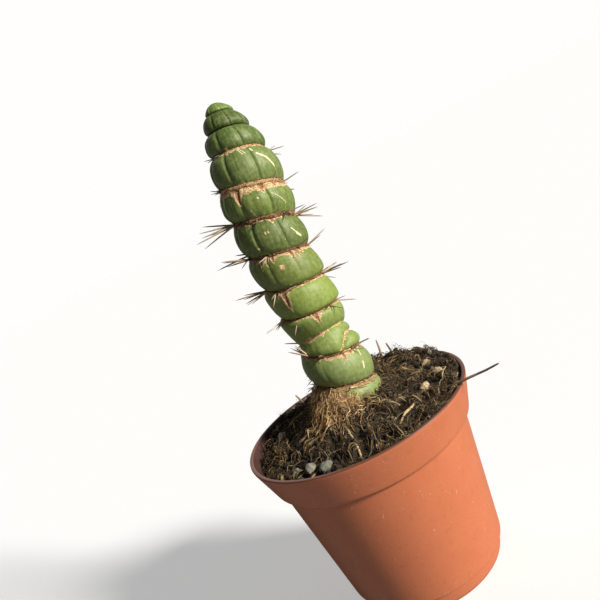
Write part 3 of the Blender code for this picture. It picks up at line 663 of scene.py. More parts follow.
def skin(turn, share, outward=0.0):
    """Points of the skin at turns and shares, or points off it by `outward`."""
    turn, share = np.broadcast_arrays(np.asarray(turn, float), np.asarray(share, float))
    middle, out, _, _ = skin_frame(turn, share)
    radius = stem_radius(turn, share, groove_height(turn + share)) + outward
    return middle + out * radius[:, None]


def cork_wedges():
    """The wedges that the photograph shows, and others by a rule where it shows none."""
    draw = np.random.default_rng(5)
    wedges = list(CORK_WEDGES)
    for index in range(round((BAND_TO - BAND_FROM) * AREOLES_PER_TURN)):
        spot = BAND_FROM + (index + 0.5) / AREOLES_PER_TURN + draw.uniform(-0.03, 0.03)
        if spot > FIRST_CORK and not SEEN_SIDE[0] < spot % 1 < SEEN_SIDE[1]:
            wedges.append((spot, draw.uniform(2, 6), draw.uniform(1.5, 3.5)))
    return wedges


def cork_mask(turn, share, height):
    """Where the skin has turned to cork, along the groove's lower edge and in wedges below it,
    and where those wedges are torn open to a darker core."""
    pitch = groove_height(turn) - groove_height(turn + 1)
    down = share * pitch / MM
    ragged = noise_of(turn * 60, down * 0.6, shift=1.7)
    patches = np.clip(noise_of(turn * 7, shift=5.1), -0.6, 1)
    scallop = np.abs(np.sin(math.pi * turn * CREASES * 2))
    wide = 1.0 + 0.5 * ragged + 0.5 * scallop + 1.0 * patches
    wide += 1.8 * bell(turn, 3.82, 0.2)
    wide *= 1 - 0.45 * smooth(turn, *LAST_TURN_THINS)
    grown = smooth(turn, BAND_FROM - 0.05, BAND_FROM + 0.12) * smooth(height, 2 * MM, 8 * MM)
    mask = smooth(wide - down, -0.25, 0.35) * grown
    core = np.zeros(len(turn))
    round_mm = TAU * stem_radius(turn, share, height) / MM
    for spot, length, width in cork_wedges():
        part = down / length
        half = 0.62 * width * np.clip(1 - part, 0, 1) ** 0.7
        side = np.abs((turn - spot) * round_mm + 0.5 * ragged * part)
        mask = np.maximum(mask, smooth(half - side, -0.15, 0.25) * (part < 1))
        core = np.maximum(core, smooth(half * 0.4 - side, -0.2, 0.25) * (part < 0.85))
    reach = (smooth(turn, 7.56, 7.62) * (0.25 + 0.75 * (1 - smooth(turn, 7.74, 7.8))), 1.0)
    slope = np.where(turn > WEDGE_TURNS[1], 0.7, 1.0)
    for cut, start, level in zip(wedge_cuts(turn), WEDGE_TURNS, reach):
        far = np.abs(share - cut) * pitch / MM * slope
        line = smooth(0.42 * level + 0.4 * ragged - far, -0.15, 0.25) * wedge_strength(turn)
        mask = np.maximum(mask, line * smooth(turn, start, start + 0.01))
    for spot, at, radius in BLOTS:
        far = np.hypot((turn - spot) * round_mm, (share - at) * pitch / MM)
        mask = np.maximum(mask, smooth(radius * (1 + 0.8 * ragged) - far, -0.2, 0.25))
    return mask, core


def scratch_mask(turn, share, height):
    """A soft ramp across each cream scratch and the painted highlight among them, 0.5 at its edge, which
    the paint cuts sharp.
    """
    pitch = (groove_height(turn) - groove_height(turn + 1)) / MM
    round_mm = TAU * stem_radius(turn, share, height) / MM
    mask = np.zeros(len(turn))
    for turn_a, share_a, turn_b, share_b, width in SCRATCHES_AND_HIGHLIGHT:
        run_x, run_y = (turn_b - turn_a) * round_mm, (share_b - share_a) * pitch
        x, y = (turn - turn_a) * round_mm, (share - share_a) * pitch
        part = np.clip((x * run_x + y * run_y) / (run_x**2 + run_y**2), 0, 1)
        far = np.hypot(x - part * run_x, y - part * run_y)
        mask = np.maximum(mask, np.clip(0.5 + (width / 2 - far) / SCRATCH_AND_HIGHLIGHT_RAMP, 0, 1))
    return mask


def make_stem(material):
    """A sheet that winds down the stem and shares its edges with the turns beside it."""
    columns = round((LAST_TURN - FIRST_TURN) * STEM_COLUMNS)
    column, line = np.meshgrid(np.arange(columns + 1), np.arange(STEM_ROWS + 1), indexing="ij")
    turn = FIRST_TURN + column.ravel() / STEM_COLUMNS
    share = row_share(turn, line.ravel() / STEM_ROWS)
    share = np.clip(turn + share, TIP_LEVEL, LAST_TURN) - turn
    inner = np.clip(share, 0.0, 1.0)
    height = groove_height(turn + share)
    middle, outward, _, _ = skin_frame(turn, share)
    radius = stem_radius(turn, inner, height) - skin_relief(turn, inner, height)
    cork, core = cork_mask(turn, inner, height)
    scratch = scratch_mask(turn, inner, height)
    raised = CORK_RISE * cork - CORE_DEPTH * core - SCRATCH_AND_HIGHLIGHT_DEPTH * scratch
    radius += raised * MM * (radius > MM)
    points = middle + outward * np.nan_to_num(np.maximum(radius, 0.0))[:, None]
    sheet = points.reshape(columns + 1, STEM_ROWS + 1, 3)
    sheet[:-STEM_COLUMNS, -1] = sheet[STEM_COLUMNS:, 0]
    corner = np.arange(columns)[:, None] * (STEM_ROWS + 1) + np.arange(STEM_ROWS)
    faces = quads([corner, corner + 1, corner + STEM_ROWS + 2, corner + STEM_ROWS + 1])
    stem = mesh_object("cactus_stem_skin", points, faces, cork=cork, core=core, scratch=scratch,
                       turn=turn, share=inner)
    mend(stem.data, SEAM, fill=True)
    dress(stem, material, "cactus_skin", "cactus_stem")


def make_felt(material):
    """The lumpy felt that fills the groove."""
    count = round((BAND_TO - BAND_FROM) * FELT_STEPS)
    turn = np.linspace(BAND_FROM, BAND_TO, count + 1)
    middle, outward, _, up = skin_frame(turn)
    ends = smooth(turn, BAND_FROM, BAND_FROM + 0.2) * (1 - smooth(turn, BAND_TO - 0.1, BAND_TO))
    full = 0.30 + 0.70 * smooth(turn, *FELT_FILLS) - 0.25 * smooth(turn, *FELT_THINS)
    full -= 0.25 * smooth(turn, *LAST_TURN_THINS)
    thick = FELT_RADIUS * (0.45 + 0.55 * ends) * full
    base = groove_radius(turn)
    base -= 0.8 * MM * (1 - smooth(groove_height(turn), 6 * MM, 14 * MM))
    spots = []
    for angle in np.arange(FELT_SIDES) * TAU / FELT_SIDES:
        side, rise = math.cos(angle), math.sin(angle)
        spot = middle + outward * (base + FELT_LIFT)[:, None]
        bulge = 1 + 0.45 * noise_of(turn * 45, 2 * side, 2 * rise)
        bulge += 0.25 * noise_of(turn * 130, 3 * side, 3 * rise)
        reach = (thick * bulge)[:, None]
        spots.append(spot + reach * (1.1 * side * outward + 1.05 * rise * up))
    here = np.arange(count)[:, None] * FELT_SIDES
    first = np.arange(FELT_SIDES)
    after = (first + 1) % FELT_SIDES
    on = here + FELT_SIDES
    faces = quads([here + first, on + first, on + after, here + after])
    faces += [first.tolist(), (count * FELT_SIDES + first[::-1]).tolist()]
    felt = mesh_object("areole_felt", np.stack(spots, 1), faces, turn=np.repeat(turn, FELT_SIDES))
    dress(felt, material, "cork_and_spines", "areoles_and_spines")


def make_fuzz(material):
    """Short hairs all along the felt."""
    draw = np.random.default_rng(21)
    each = (FUZZ_COUNT, 1)
    turn = draw.uniform(BAND_FROM + 0.05, BAND_TO, FUZZ_COUNT)
    middle, outward, along, up = skin_frame(turn)
    base = groove_radius(turn) + FELT_LIFT
    rise = draw.uniform(-1.0, 1.0, each)
    sway = draw.uniform(-0.9, 0.9, each)
    aim = unit(outward + rise * up + sway * along)
    foot = middle + outward * base[:, None] + 0.8 * MM * up * rise
    full = 0.25 + 0.75 * smooth(turn, *FELT_FILLS) - 0.15 * smooth(turn, *FELT_THINS)
    length = draw.uniform(*FUZZ_LENGTHS, each) * MM * full[:, None]
    bend = along * draw.normal(0, 0.35, each) * length - 0.25 * up * length
    routes = np.stack([foot, foot + aim * length * 0.5, foot + aim * length + bend * 0.6], 1)
    radii = np.linspace(*FUZZ_RADII, 3)[None, :] * MM * draw.uniform(0.7, 1.3, each)
    fuzz = strands("areole_fuzz", routes, radii, 3, draw.uniform(0, 1, FUZZ_COUNT))
    dress(fuzz, material, "cork_and_spines", "areoles_and_spines")


def spine_plans(draw):
    """Clusters as turn, rise, fan, longest, spines and spread: the seen ones, then the others."""
    plans = [(*cluster, SEEN_SPREAD) for cluster in CLUSTERS]
    known = np.array([cluster[0] for cluster in CLUSTERS])
    count = round((BAND_TO - BAND_FROM - 0.1) * AREOLES_PER_TURN)
    for turn in BAND_FROM + 0.06 + (np.arange(count) + 0.5) / AREOLES_PER_TURN:
        if np.abs(known - turn).min() < CLUSTER_REACH:
            continue
        height = groove_height(turn)
        share = smooth(height, 8 * MM, 60 * MM) * (1 - 0.6 * smooth(height, 105 * MM, 120 * MM))
        front = 1 - 0.8 * float(bell(turn % 1, 0.76, 0.17))
        grown = 0.25 + 0.75 * float(smooth(turn, *YOUNG_TURNS))
        longest = (5 + 12 * share * draw.uniform(0.5, 1)) * max(front, 0.3) * grown
        number = int(draw.integers(*SPINES_EACH) * (0.35 + 0.65 * front) * (0.3 + 0.7 * grown))
        plans.append((turn, draw.uniform(-12, 14), 26, longest, number, OTHER_SPREAD))
    return plans


def make_spines(material):
    """Tapered spines at every areole."""
    draw = np.random.default_rng(11)
    routes, shades, roots = [], [], []
    part = np.linspace(0, 1, SPINE_POINTS)
    way = part[:, None]
    for turn, rise, fan, longest, count, spread in spine_plans(draw):
        spot = np.array([turn])
        middle, outward, along, up = (found[0] for found in skin_frame(spot))
        base = groove_radius(spot)[0]
        for number in range(count):
            lift = math.radians(rise + draw.uniform(-fan, fan))
            side = math.radians(draw.uniform(-spread, spread))
            aim = unit(outward * math.cos(side) + along * math.sin(side))
            aim = unit(aim * math.cos(lift) + up * math.sin(lift))
            size = longest * MM * (1.0 if number == 0 else draw.uniform(0.4, 0.95))
            foot = middle + outward * (base + 1.1 * MM) + along * draw.uniform(-1, 1) * MM
            bend = 0.03 * draw.normal() * along - 0.02 * up
            length = size + 2 * MM
            routes.append(foot + aim * length * way + bend * length * way**2)
            roots.append(SPINE_ROOT_RADIUS * min(0.5 + size / (24 * MM), 1.1))
            shades.append(draw.uniform())
    taper = (1 - 0.15 * part) * np.sqrt(np.clip(1.02 - part**2.6, 0, 1))
    radii = np.array(roots)[:, None] * taper[None, :]
    spines = strands("spines", np.array(routes), radii, SPINE_SIDES, np.array(shades))
    dress(spines, material, "cork_and_spines", "areoles_and_spines")


def pot_inside():
    """Inner wall as (radius, height), from the floor up to the rim."""
    top = POT_HEIGHT
    body_slope = (BODY_TOP_RADIUS - LIP_RADIUS) / (LIP_DEPTH - COLLAR_DEPTH)
    return [
        (FOOT_RADIUS - WALL, FLOOR),
        (FOOT_TOP_RADIUS - WALL, top - LIP_DEPTH),
        (LIP_RADIUS - WALL + body_slope * 4 * MM, top - LIP_DEPTH + 4 * MM),
        (BODY_TOP_RADIUS - WALL, top - COLLAR_DEPTH - 1.5 * MM),
        (COLLAR_FOOT_RADIUS - WALL, top - COLLAR_DEPTH + 1.0 * MM),
        (RIM_RADIUS - WALL - 0.3 * MM, top - 0.5 * MM),
    ]


def inside_radius(height):
    radii, heights = zip(*pot_inside())
    return np.interp(height, heights, radii)


def rounded(points, radius, steps=6):
    """A profile with each of its corners rounded over at most `radius`."""
    path = [points[0]]
    for before, corner, after in zip(points, points[1:], points[2:]):
        spot = Vector(corner)
        back, on = Vector(before) - spot, Vector(after) - spot
        start = spot + back.normalized() * min(radius, 0.45 * back.length)
        end = spot + on.normalized() * min(radius, 0.45 * on.length)
        for step in range(steps + 1):
            part = step / steps
            path.append(tuple(start.lerp(spot, part).lerp(spot.lerp(end, part), part)))
    return path + [points[-1]]


def make_pot(material):
    top = POT_HEIGHT
    seam = (RIM_RADIUS - WALL + 0.2 * MM, top)
    outside = [
        seam,
        (RIM_RADIUS - 0.1 * MM, top),
        (RIM_RADIUS, top - 0.8 * MM),
        (COLLAR_FOOT_RADIUS + 0.1 * MM, top - COLLAR_DEPTH + 0.6 * MM),
        (COLLAR_FOOT_RADIUS - 0.4 * MM, top - COLLAR_DEPTH),
        (BODY_TOP_RADIUS, top - COLLAR_DEPTH - 0.9 * MM),
        (LIP_RADIUS, top - LIP_DEPTH + 0.5 * MM),
        (LIP_RADIUS - 0.3 * MM, top - LIP_DEPTH),
        (FOOT_TOP_RADIUS, top - LIP_DEPTH + 0.1 * MM),
        (FOOT_RADIUS + 0.7 * MM, 1.6 * MM),
        (FOOT_RADIUS - 0.9 * MM, 0.0),
        (0.0, 0.0),
    ]
    outer = rounded(outside, 1.3 * MM)
    inner = rounded([(0.0, FLOOR)] + pot_inside() + [seam], 1.0 * MM)[:-1]
    radius, height = np.array(outer + inner).T[:, :, None]
    angles = np.arange(POT_STEPS) * TAU / POT_STEPS
    points = np.stack([radius * np.cos(angles), radius * np.sin(angles), height + 0 * angles], -1)
    mask = np.repeat([0.0] * len(outer) + [1.0] * len(inner), POT_STEPS)
    pot = mesh_object("nursery_pot", points, closed_grid(len(radius), POT_STEPS), inner=mask)
    mend(pot.data, WELD)
    cutters = [notch_cutter(index) for index in range(NOTCH_COUNT)]
    for cutter in cutters:
        cut = pot.modifiers.new("notch", "BOOLEAN")
        cut.object = cutter
        cut.solver = "EXACT"
    apply_modifiers(pot)
    for cutter in cutters:
        bpy.data.objects.remove(cutter, do_unlink=True)
    pot.data.set_sharp_from_angle(angle=SHARP_ANGLE)
    dress(pot, material, "terracotta_plastic", "pot")


def notch_cutter(index):
    """A block that cuts one drainage notch into the foot."""
    bm = bmesh.new()
    bmesh.ops.create_cube(bm, size=1)
    bmesh.ops.scale(bm, vec=(NOTCH_LENGTH, NOTCH_WIDTH, 2 * NOTCH_HEIGHT), verts=bm.verts)
    middle = NOTCH_INNER_RADIUS + NOTCH_LENGTH / 2
    bmesh.ops.translate(bm, vec=(middle, 0, 0), verts=bm.verts)
    turn = NOTCH_FIRST_ANGLE + index * TAU / NOTCH_COUNT
    bmesh.ops.rotate(bm, matrix=Matrix.Rotation(turn, 3, "Z"), verts=bm.verts)
    bmesh.ops.bevel(bm, geom=bm.edges[:], offset=NOTCH_ROUNDING, segments=3, affect="EDGES")
    mesh = bpy.data.meshes.new("notch")
    bm.to_mesh(mesh)
    bm.free()
    return linked("notch", mesh)


def soil_surface(flat):
    """Height of the soil at places on the level, as the packed soil has it."""
    x, y = flat.T
    reach = np.minimum(np.hypot(x, y) / RIM_RADIUS, 1.0)
    toward = (x * math.cos(SOIL_SLOPE_ANGLE) + y * math.sin(SOIL_SLOPE_ANGLE)) / RIM_RADIUS
    away = np.hypot(x - SOIL_MOUND_X, y - SOIL_MOUND_Y)
    height = POT_HEIGHT - SOIL_EDGE_DROP * (0.6 + 0.4 * reach**4) + SOIL_SLOPE * toward
    height += SOIL_MOUND * bell(away, 0, SOIL_MOUND_RADIUS)
    spots = np.column_stack([flat, 0 * x])
    fine = noise_at(spots + [0, 0, 3 * MM], SOIL_LUMP_SIZE * 0.45)
    return height + SOIL_LUMPS * (noise_at(spots, SOIL_LUMP_SIZE) + 0.5 * fine)


def make_soil(material):
    """A ring of soil between the stem's buried foot and the pot's wall, closed underneath."""
    angles = np.arange(SOIL_COLUMNS) * TAU / SOIL_COLUMNS
    ring = np.stack([np.cos(angles), np.sin(angles)], -1)
    core = (BASE_X, BASE_Y) + SOIL_CORE * ring
    wall_radius = float(inside_radius(SOIL_LEVEL)) - SOIL_GAP
    edge = wall_radius * ring
    parts = np.linspace(0, 1, SOIL_RINGS + 1)[:, None, None]
    spots = (core[None] * (1 - parts) + edge[None] * parts).reshape(-1, 2)
    crumb = noise_at(spots, 3.4 * MM, 9.0) * 1.5 + np.abs(noise_at(spots, 1.5 * MM, 4.0)) * 1.1
    crumb += noise_at(spots, 0.7 * MM, 2.0) * 0.35
    height = soil_surface(spots) + crumb * MM - 0.3 * MM
    top = np.column_stack([spots, height]).reshape(SOIL_RINGS + 1, SOIL_COLUMNS, 3)
    limit = inside_radius(top[-1, :, 2]) - SOIL_GAP
    top[-1, :, :2] = edge / wall_radius * limit[:, None]
    sides = []
    for depth in SOIL_SIDE_DEPTHS:
        level = POT_HEIGHT - depth
        shrink = (float(inside_radius(level)) - 0.3 * MM) / wall_radius
        sides.append(np.column_stack([edge * shrink, 0 * angles + level]))
    sides.append(np.column_stack([core, 0 * angles + level]))
    rings = np.concatenate([top, np.stack(sides)])
    soil = mesh_object("peat_ground", rings, closed_grid(len(rings), SOIL_COLUMNS))
    dress(soil, material, "peat_soil", "soil")


def clumps(spots):
    """1 in the middle of the soil's clumps of straw and 0 in the dark gaps between."""
    rough = noise_at(spots, CLUMP_SIZE, 6.0) + 0.5 * noise_at(spots, CLUMP_SIZE / 3, 2.0)
    return smooth(rough, -0.2, 0.35)


def cell_numbers(spots, shift=(0, 0)):
    cells = np.round(spots / CELL).astype(int) + shift
    return cells[:, 0] * 1000 + cells[:, 1]


def covered(spots):
    """True where a pebble, straw or twig lies within about a cell."""
    taken = [cell_numbers(LOOSE, (x, y)) for x in (-1, 0, 1) for y in (-1, 0, 1)]
    return np.isin(cell_numbers(spots), np.concatenate(taken))


def soil_spots(draw, count):
    """Places on the soil, gathered in clumps and fewer at the front left where it lies bare."""
    limit = inside_radius(SOIL_LEVEL) - 1.5 * MM
    tries = draw.uniform(-limit, limit, (count * 8, 2))
    inside = np.linalg.norm(tries, axis=1) < limit
    clear = np.linalg.norm(tries - (BASE_X, BASE_Y), axis=1) > STEM_CLEAR
    bare = bell(np.linalg.norm(tries - BARE_PLACE, axis=1), 0, BARE_RADIUS)
    kept = draw.uniform(0, 1, len(tries)) < (1 - 0.7 * bare) * (0.04 + 0.96 * clumps(tries))
    return tries[inside & clear & kept & ~covered(tries)][:count]


def skewed(draw, low, gain, power, shape):
    """Sizes from low to low + gain millimetres, few of them large. Nothing is drawn for no gain."""
    return MM * (low + gain * draw.uniform(0, 1, shape) ** power) if gain else MM * low


def make_crumbs(material):
    draw = np.random.default_rng(31)
    spots = soil_spots(draw, CRUMBS)
    sizes = skewed(draw, *CRUMB_SIZES, CRUMBS)
    places = np.column_stack([spots, soil_surface(spots) + 0.25 * sizes + 0.35 * MM])
    crumbs = lumps("peat_crumbs", places, sizes, draw.uniform(0, 1, CRUMBS), draw)
    dress(crumbs, material, "peat_soil")


def wandering(draw, spots, lengths, points, curl, lift, heading=None):
    """Curved routes over the soil from each spot: strands x points x 3."""
    count = len(spots)
    if heading is None:
        heading = TAU * noise_at(spots, 2.5 * CLUMP_SIZE, 8.0) + draw.normal(0, 1.1, count)
    bend = draw.normal(0, curl, count)
    wobble = draw.normal(0, 0.4, (count, points))
    part = np.linspace(0, 1, points)
    turn = heading[:, None] + bend[:, None] * part + wobble * 0.6
    step = lengths[:, None] / (points - 1)
    x = spots[:, :1] + np.cumsum(np.cos(turn) * step, 1)
    y = spots[:, 1:] + np.cumsum(np.sin(turn) * step, 1)
    limit = inside_radius(POT_HEIGHT - 1 * MM) - 0.8 * MM
    pull = np.minimum(1.0, limit / np.hypot(x, y))
    out_x, out_y = x * pull - BASE_X, y * pull - BASE_Y
    push = np.maximum(1.0, STEM_CLEAR / np.hypot(out_x, out_y))
    x, y = BASE_X + out_x * push, BASE_Y + out_y * push
    flat = np.column_stack([x.ravel(), y.ravel()])
    ground = (soil_surface(flat) + 0.8 * MM * clumps(flat)).reshape(x.shape)
    rise = np.abs(draw.normal(0, lift, (count, 1))) * np.sin(math.pi * part) ** 0.8
    tilt = draw.normal(0, lift * 0.7, (count, 1)) * part
    height = ground + 0.25 * MM + rise + np.maximum(tilt, -0.3 * MM)
    return np.stack([x, y, height], -1)


def strew(draw, material, name, count, sides, length, curl, lift, thick, taper, shade):
    """A layer of strands on the soil, each with its own length, thickness and shade."""
    spots = soil_spots(draw, count)
    lengths = skewed(draw, *length, count)
    routes = wandering(draw, spots, lengths, len(taper), curl, lift * MM)
    radii = np.atleast_2d(skewed(draw, *thick, (count, 1)) * np.array(taper))
    low, power, clumped = shade
    shades = low + (1 - low) * draw.uniform(0, 1, count) ** power
    shades = shades * (1 - clumped + clumped * clumps(spots))
    dress(strands(name, routes, radii, sides, shades), material, "peat_soil")


def make_rim_wisps(material):
    """Short fibres that reach from the soil over the rim at the front right."""
    draw = np.random.default_rng(61)
    each = (WISPS, 1)
    angle = np.radians(draw.uniform(*WISP_ANGLES, WISPS))
    part = np.linspace(0, 1, len(WISP_TAPER))
    start = inside_radius(SOIL_LEVEL) - 2.5 * MM
    run = MM * draw.uniform(*WISP_LENGTHS, each) * part
    swing = angle[:, None] + draw.normal(0, 0.05, each) * part
    x, y = (start + run) * np.cos(swing), (start + run) * np.sin(swing)
    low = soil_surface(np.column_stack([x[:, 0], y[:, 0]]))[:, None]
    top = POT_HEIGHT + MM * draw.uniform(0.2, 1.0, each)
    z = low + (top - low) * np.sin(np.minimum(part * 1.8, 1) * math.pi / 2)
    radii = MM * draw.uniform(0.05, 0.16, each) * np.array(WISP_TAPER)
    routes = np.stack([x, y, z], -1)
    wisps = strands("rim_wisps", routes, radii, 4, draw.uniform(0.3, 1, WISPS))
    dress(wisps, material, "peat_soil")


def wrapping_roots(draw, part):
    """Routes of the roots that lie round the foot in the last groove."""
    count = BASE_ROOTS * 3 // 10
    knots = (count, len(part))
    start = draw.uniform(9.3, 9.9, count)
    span = draw.uniform(0.04, 0.16, count)
    turn = start[:, None] + span[:, None] * part
    share = draw.normal(0.0, 0.03, (count, 1)) + draw.normal(0, 0.010, knots) + 0.02
    out = MM * (draw.uniform(0.2, 1.4, (count, 1)) + draw.normal(0, 0.12, knots))
    share = np.clip(share, 0.0, 1.0)
    return skin(turn.ravel(), share.ravel(), out.ravel()).reshape(*knots, 3)


def nest_roots(draw, part, count):
    """Routes of the roots that lie on a mound at the left of the foot."""
    angle = TAU * draw.normal(NEST_TURN, 0.085, count)
    away = skewed(draw, NEST_START / MM, 8, 1.4, count)
    spots = np.column_stack([BASE_X + away * np.cos(angle), BASE_Y + away * np.sin(angle)])
    lengths = skewed(draw, 3, 9, 2.5, count)
    heading = angle + draw.normal(0, 1.2, count)
    nest = wandering(draw, spots, lengths, len(part), 2.2, 1.3 * MM, heading)
    x, y = nest[:, :, 0] - BASE_X, nest[:, :, 1] - BASE_Y
    slope = np.clip(1 - (np.hypot(x, y) - NEST_START) / NEST_REACH, 0, 1) ** 1.5
    swing = np.angle(np.exp(1j * (np.arctan2(y, x) - TAU * NEST_TURN)))
    full = NEST_RISE * draw.uniform(0.55, 1, (count, 1))
    nest[:, :, 2] += full * slope * bell(swing, 0, NEST_SPAN)
    return nest


def climbing_roots(draw, part):
    """Routes of the roots that hang from the last groove down the left of the foot."""
    count = (CLIMBERS, 1)
    knots = (CLIMBERS, len(part))
    turn = 9 + draw.normal(NEST_TURN - 0.01, 0.065, count) + draw.normal(0, 0.035, count) * part
    turn = turn + draw.normal(0, 0.005, knots)
    share = draw.uniform(0, 0.2, count) + draw.uniform(0.25, 0.6, count) * part
    flare = draw.uniform(0.5, 6, count) * part**3
    out = MM * (draw.uniform(0.3, 1.7, count) + draw.normal(0, 0.15, knots) + flare)
    routes = skin(turn.ravel(), share.ravel(), out.ravel())
    routes[:, 2] = np.maximum(routes[:, 2], soil_surface(routes[:, :2]) + 0.4 * MM)
    return routes.reshape(*knots, 3)


def make_base_roots(material):
    """Golden root fibres round the stem's foot."""
    draw = np.random.default_rng(51)
    part = np.linspace(0, 1, len(ROOT_TAPER))
    wraps = wrapping_roots(draw, part)
    nest = nest_roots(draw, part, BASE_ROOTS - len(wraps))
    routes = np.concatenate([wraps, nest, climbing_roots(draw, part)])
    radii = skewed(draw, 0.05, 0.17, 3, (len(routes), 1)) * np.array(ROOT_TAPER)
    roots = strands("base_root_fibres", routes, radii, 4, draw.uniform(0, 1, len(routes)))
    dress(roots, material, "peat_soil")


def refine(node, material, slot, levels, relief, size, shade):
    """A finer copy of a small node: its mesh subdivided and given a little relief."""
    piece = linked(node + "_fine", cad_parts[node].data.copy())
    mend(piece.data, WELD)
    soft = piece.modifiers.new("soft", "SUBSURF")
    soft.levels = soft.render_levels = levels
    apply_modifiers(piece)
    mesh = piece.data
    points = np.array([vert.co for vert in mesh.vertices])
    normals = np.array([vert.normal for vert in mesh.vertices])
    depth = noise_at(points, size * MM) + 0.5 * noise_at(points, size * MM * 0.4, 3.0)
    moved = points + normals * (depth * relief * MM)[:, None]
    mesh.vertices.foreach_set("co", moved.ravel())
    store(mesh, "shade", np.full(len(points), shade))
    mesh.shade_smooth()
    dress(piece, material, slot, node)
    return points[:, :2]


def make_loose_pieces():
    """Pebbles, straws and twigs, each over its own node. Returns where they lie."""
    paints = [stone_paint(), strand_paint("straw_paint", STRAW_STOPS, 0.75),
              strand_paint("bark_paint", BARK_STOPS, 0.85, worn=0.3)]
    found = []
    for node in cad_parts:
        tone = (len(node) * 7 + ord(node[-1]) * 5) % 10 / 10
        for paint, (start, *plan) in zip(paints, LOOSE_KINDS):
            if not node.startswith(start):
                continue
            if start == "pebble":
                tone = 1.0 if node in TAN_PEBBLES else tone / 2
            found.append(refine(node, paint, *plan, tone))
    return np.concatenate(found)


def skin_paint():
    """Waxy skin that pales down the stem, with streaks, a dusting of pale dots, cork, cream scratches
    with a painted highlight among them, and painted shade along the grooves.
    """
    paint = Paint("cactus_skin_paint", 0.55)
    turn, share = paint.value("turn"), paint.value("share")
    age = paint.node("MapRange", {"Value": turn, "From Min": -0.4, "From Max": 11.0})
    paint.tone = paint.ramp(age, SKIN_STOPS)
    paint.tint(paint.band(paint.grain(9, 4), 0.35, 0.7), (0.24, 0.31, 0.11), 0.22)
    spot = paint.node("CombineXYZ", {0: paint.times(turn, 110.0), 1: paint.times(share, 1.1),
                                     2: paint.times(paint.grain(3.0, 2), 1.5)})
    streak = paint.grain(1.0, 3, spot)
    weight = paint.span(paint.band(turn, 6.0, 3.6), 0.12, 0.42)
    paint.tint(paint.band(streak, 0.42, 0.66), (0.045, 0.078, 0.014), weight)
    paint.tint(paint.band(streak, 0.50, 0.30), (0.27, 0.34, 0.14), paint.times(weight, 0.45))
    mottle = paint.grain(1.5, 6)
    paint.tint(paint.band(mottle, 0.48, 0.62), (0.30, 0.36, 0.13), 0.22)
    paint.tint(paint.band(mottle, 0.50, 0.36), (0.06, 0.095, 0.02), 0.22)
    freckle = paint.times(paint.dots(0.75, 0.26), paint.band(paint.grain(2.5), 0.4, 0.7))
    paint.tint(freckle, (0.36, 0.42, 0.22), 0.34)
    # Painted shade: the skin darkens towards the edge of each groove
    groove_shade = paint.most(paint.band(share, 0.09, 0.0), paint.band(share, 0.90, 1.0))
    paint.tint(groove_shade, (0.045, 0.048, 0.014), 0.8)
    grit = paint.grain(0.7, 5)
    cork = paint.ragged("cork", grit, 0.5, 0.36, 0.60)
    core = paint.ragged("core", grit, 0.5, 0.40, 0.66)
    paint.tint(cork, paint.mix(core, paint.ramp(grit, CORK_STOPS), paint.ramp(grit, CORE_STOPS)))
    # Cream scratches, one of them partly a painted highlight
    paint.tint(paint.ragged("scratch", grit, 0.25, 0.44, 0.54), (0.64, 0.60, 0.38))
    paint.set("Roughness", paint.span(cork, 0.54, 0.95))
    paint.set("Specular IOR Level", 0.42)
    paint.set("Subsurface Weight", 0.06)
    paint.set("Subsurface Radius", (0.3, 0.6, 0.15))
    paint.set("Subsurface Scale", 0.003)
    relief = paint.calc("ADD", paint.times(streak, weight), paint.times(mottle, 0.5))
    return paint.done(relief, 0.16)


def felt_paint():
    paint = Paint("areole_felt_paint", 0.95)
    ragged = paint.grain(0.6, 6)
    paint.tone = paint.ramp(ragged, FELT_STOPS)
    pale = paint.band(paint.value("turn"), 4.3, 3.7)
    pale = paint.most(pale, paint.band(paint.grain(5.0, 2), 0.56, 0.72))
    paint.tint(pale, (0.48, 0.30, 0.14), paint.band(ragged, 0.32, 0.5))
    return paint.done(ragged, 0.35)


def strand_paint(name, stops, roughness, tip=None, worn=0.5):
    """Paint for strands: their own shade, a fine grain, and perhaps a darker tip."""
    paint = Paint(name, roughness)
    paint.tone = paint.ramp(paint.value("shade"), stops)
    paint.tint(paint.grain(0.5, 3), stops[0][1], worn)
    if tip:
        paint.tint(paint.band(paint.value("along"), 0.6, 1.0), tip, 0.8)
    return paint.done()


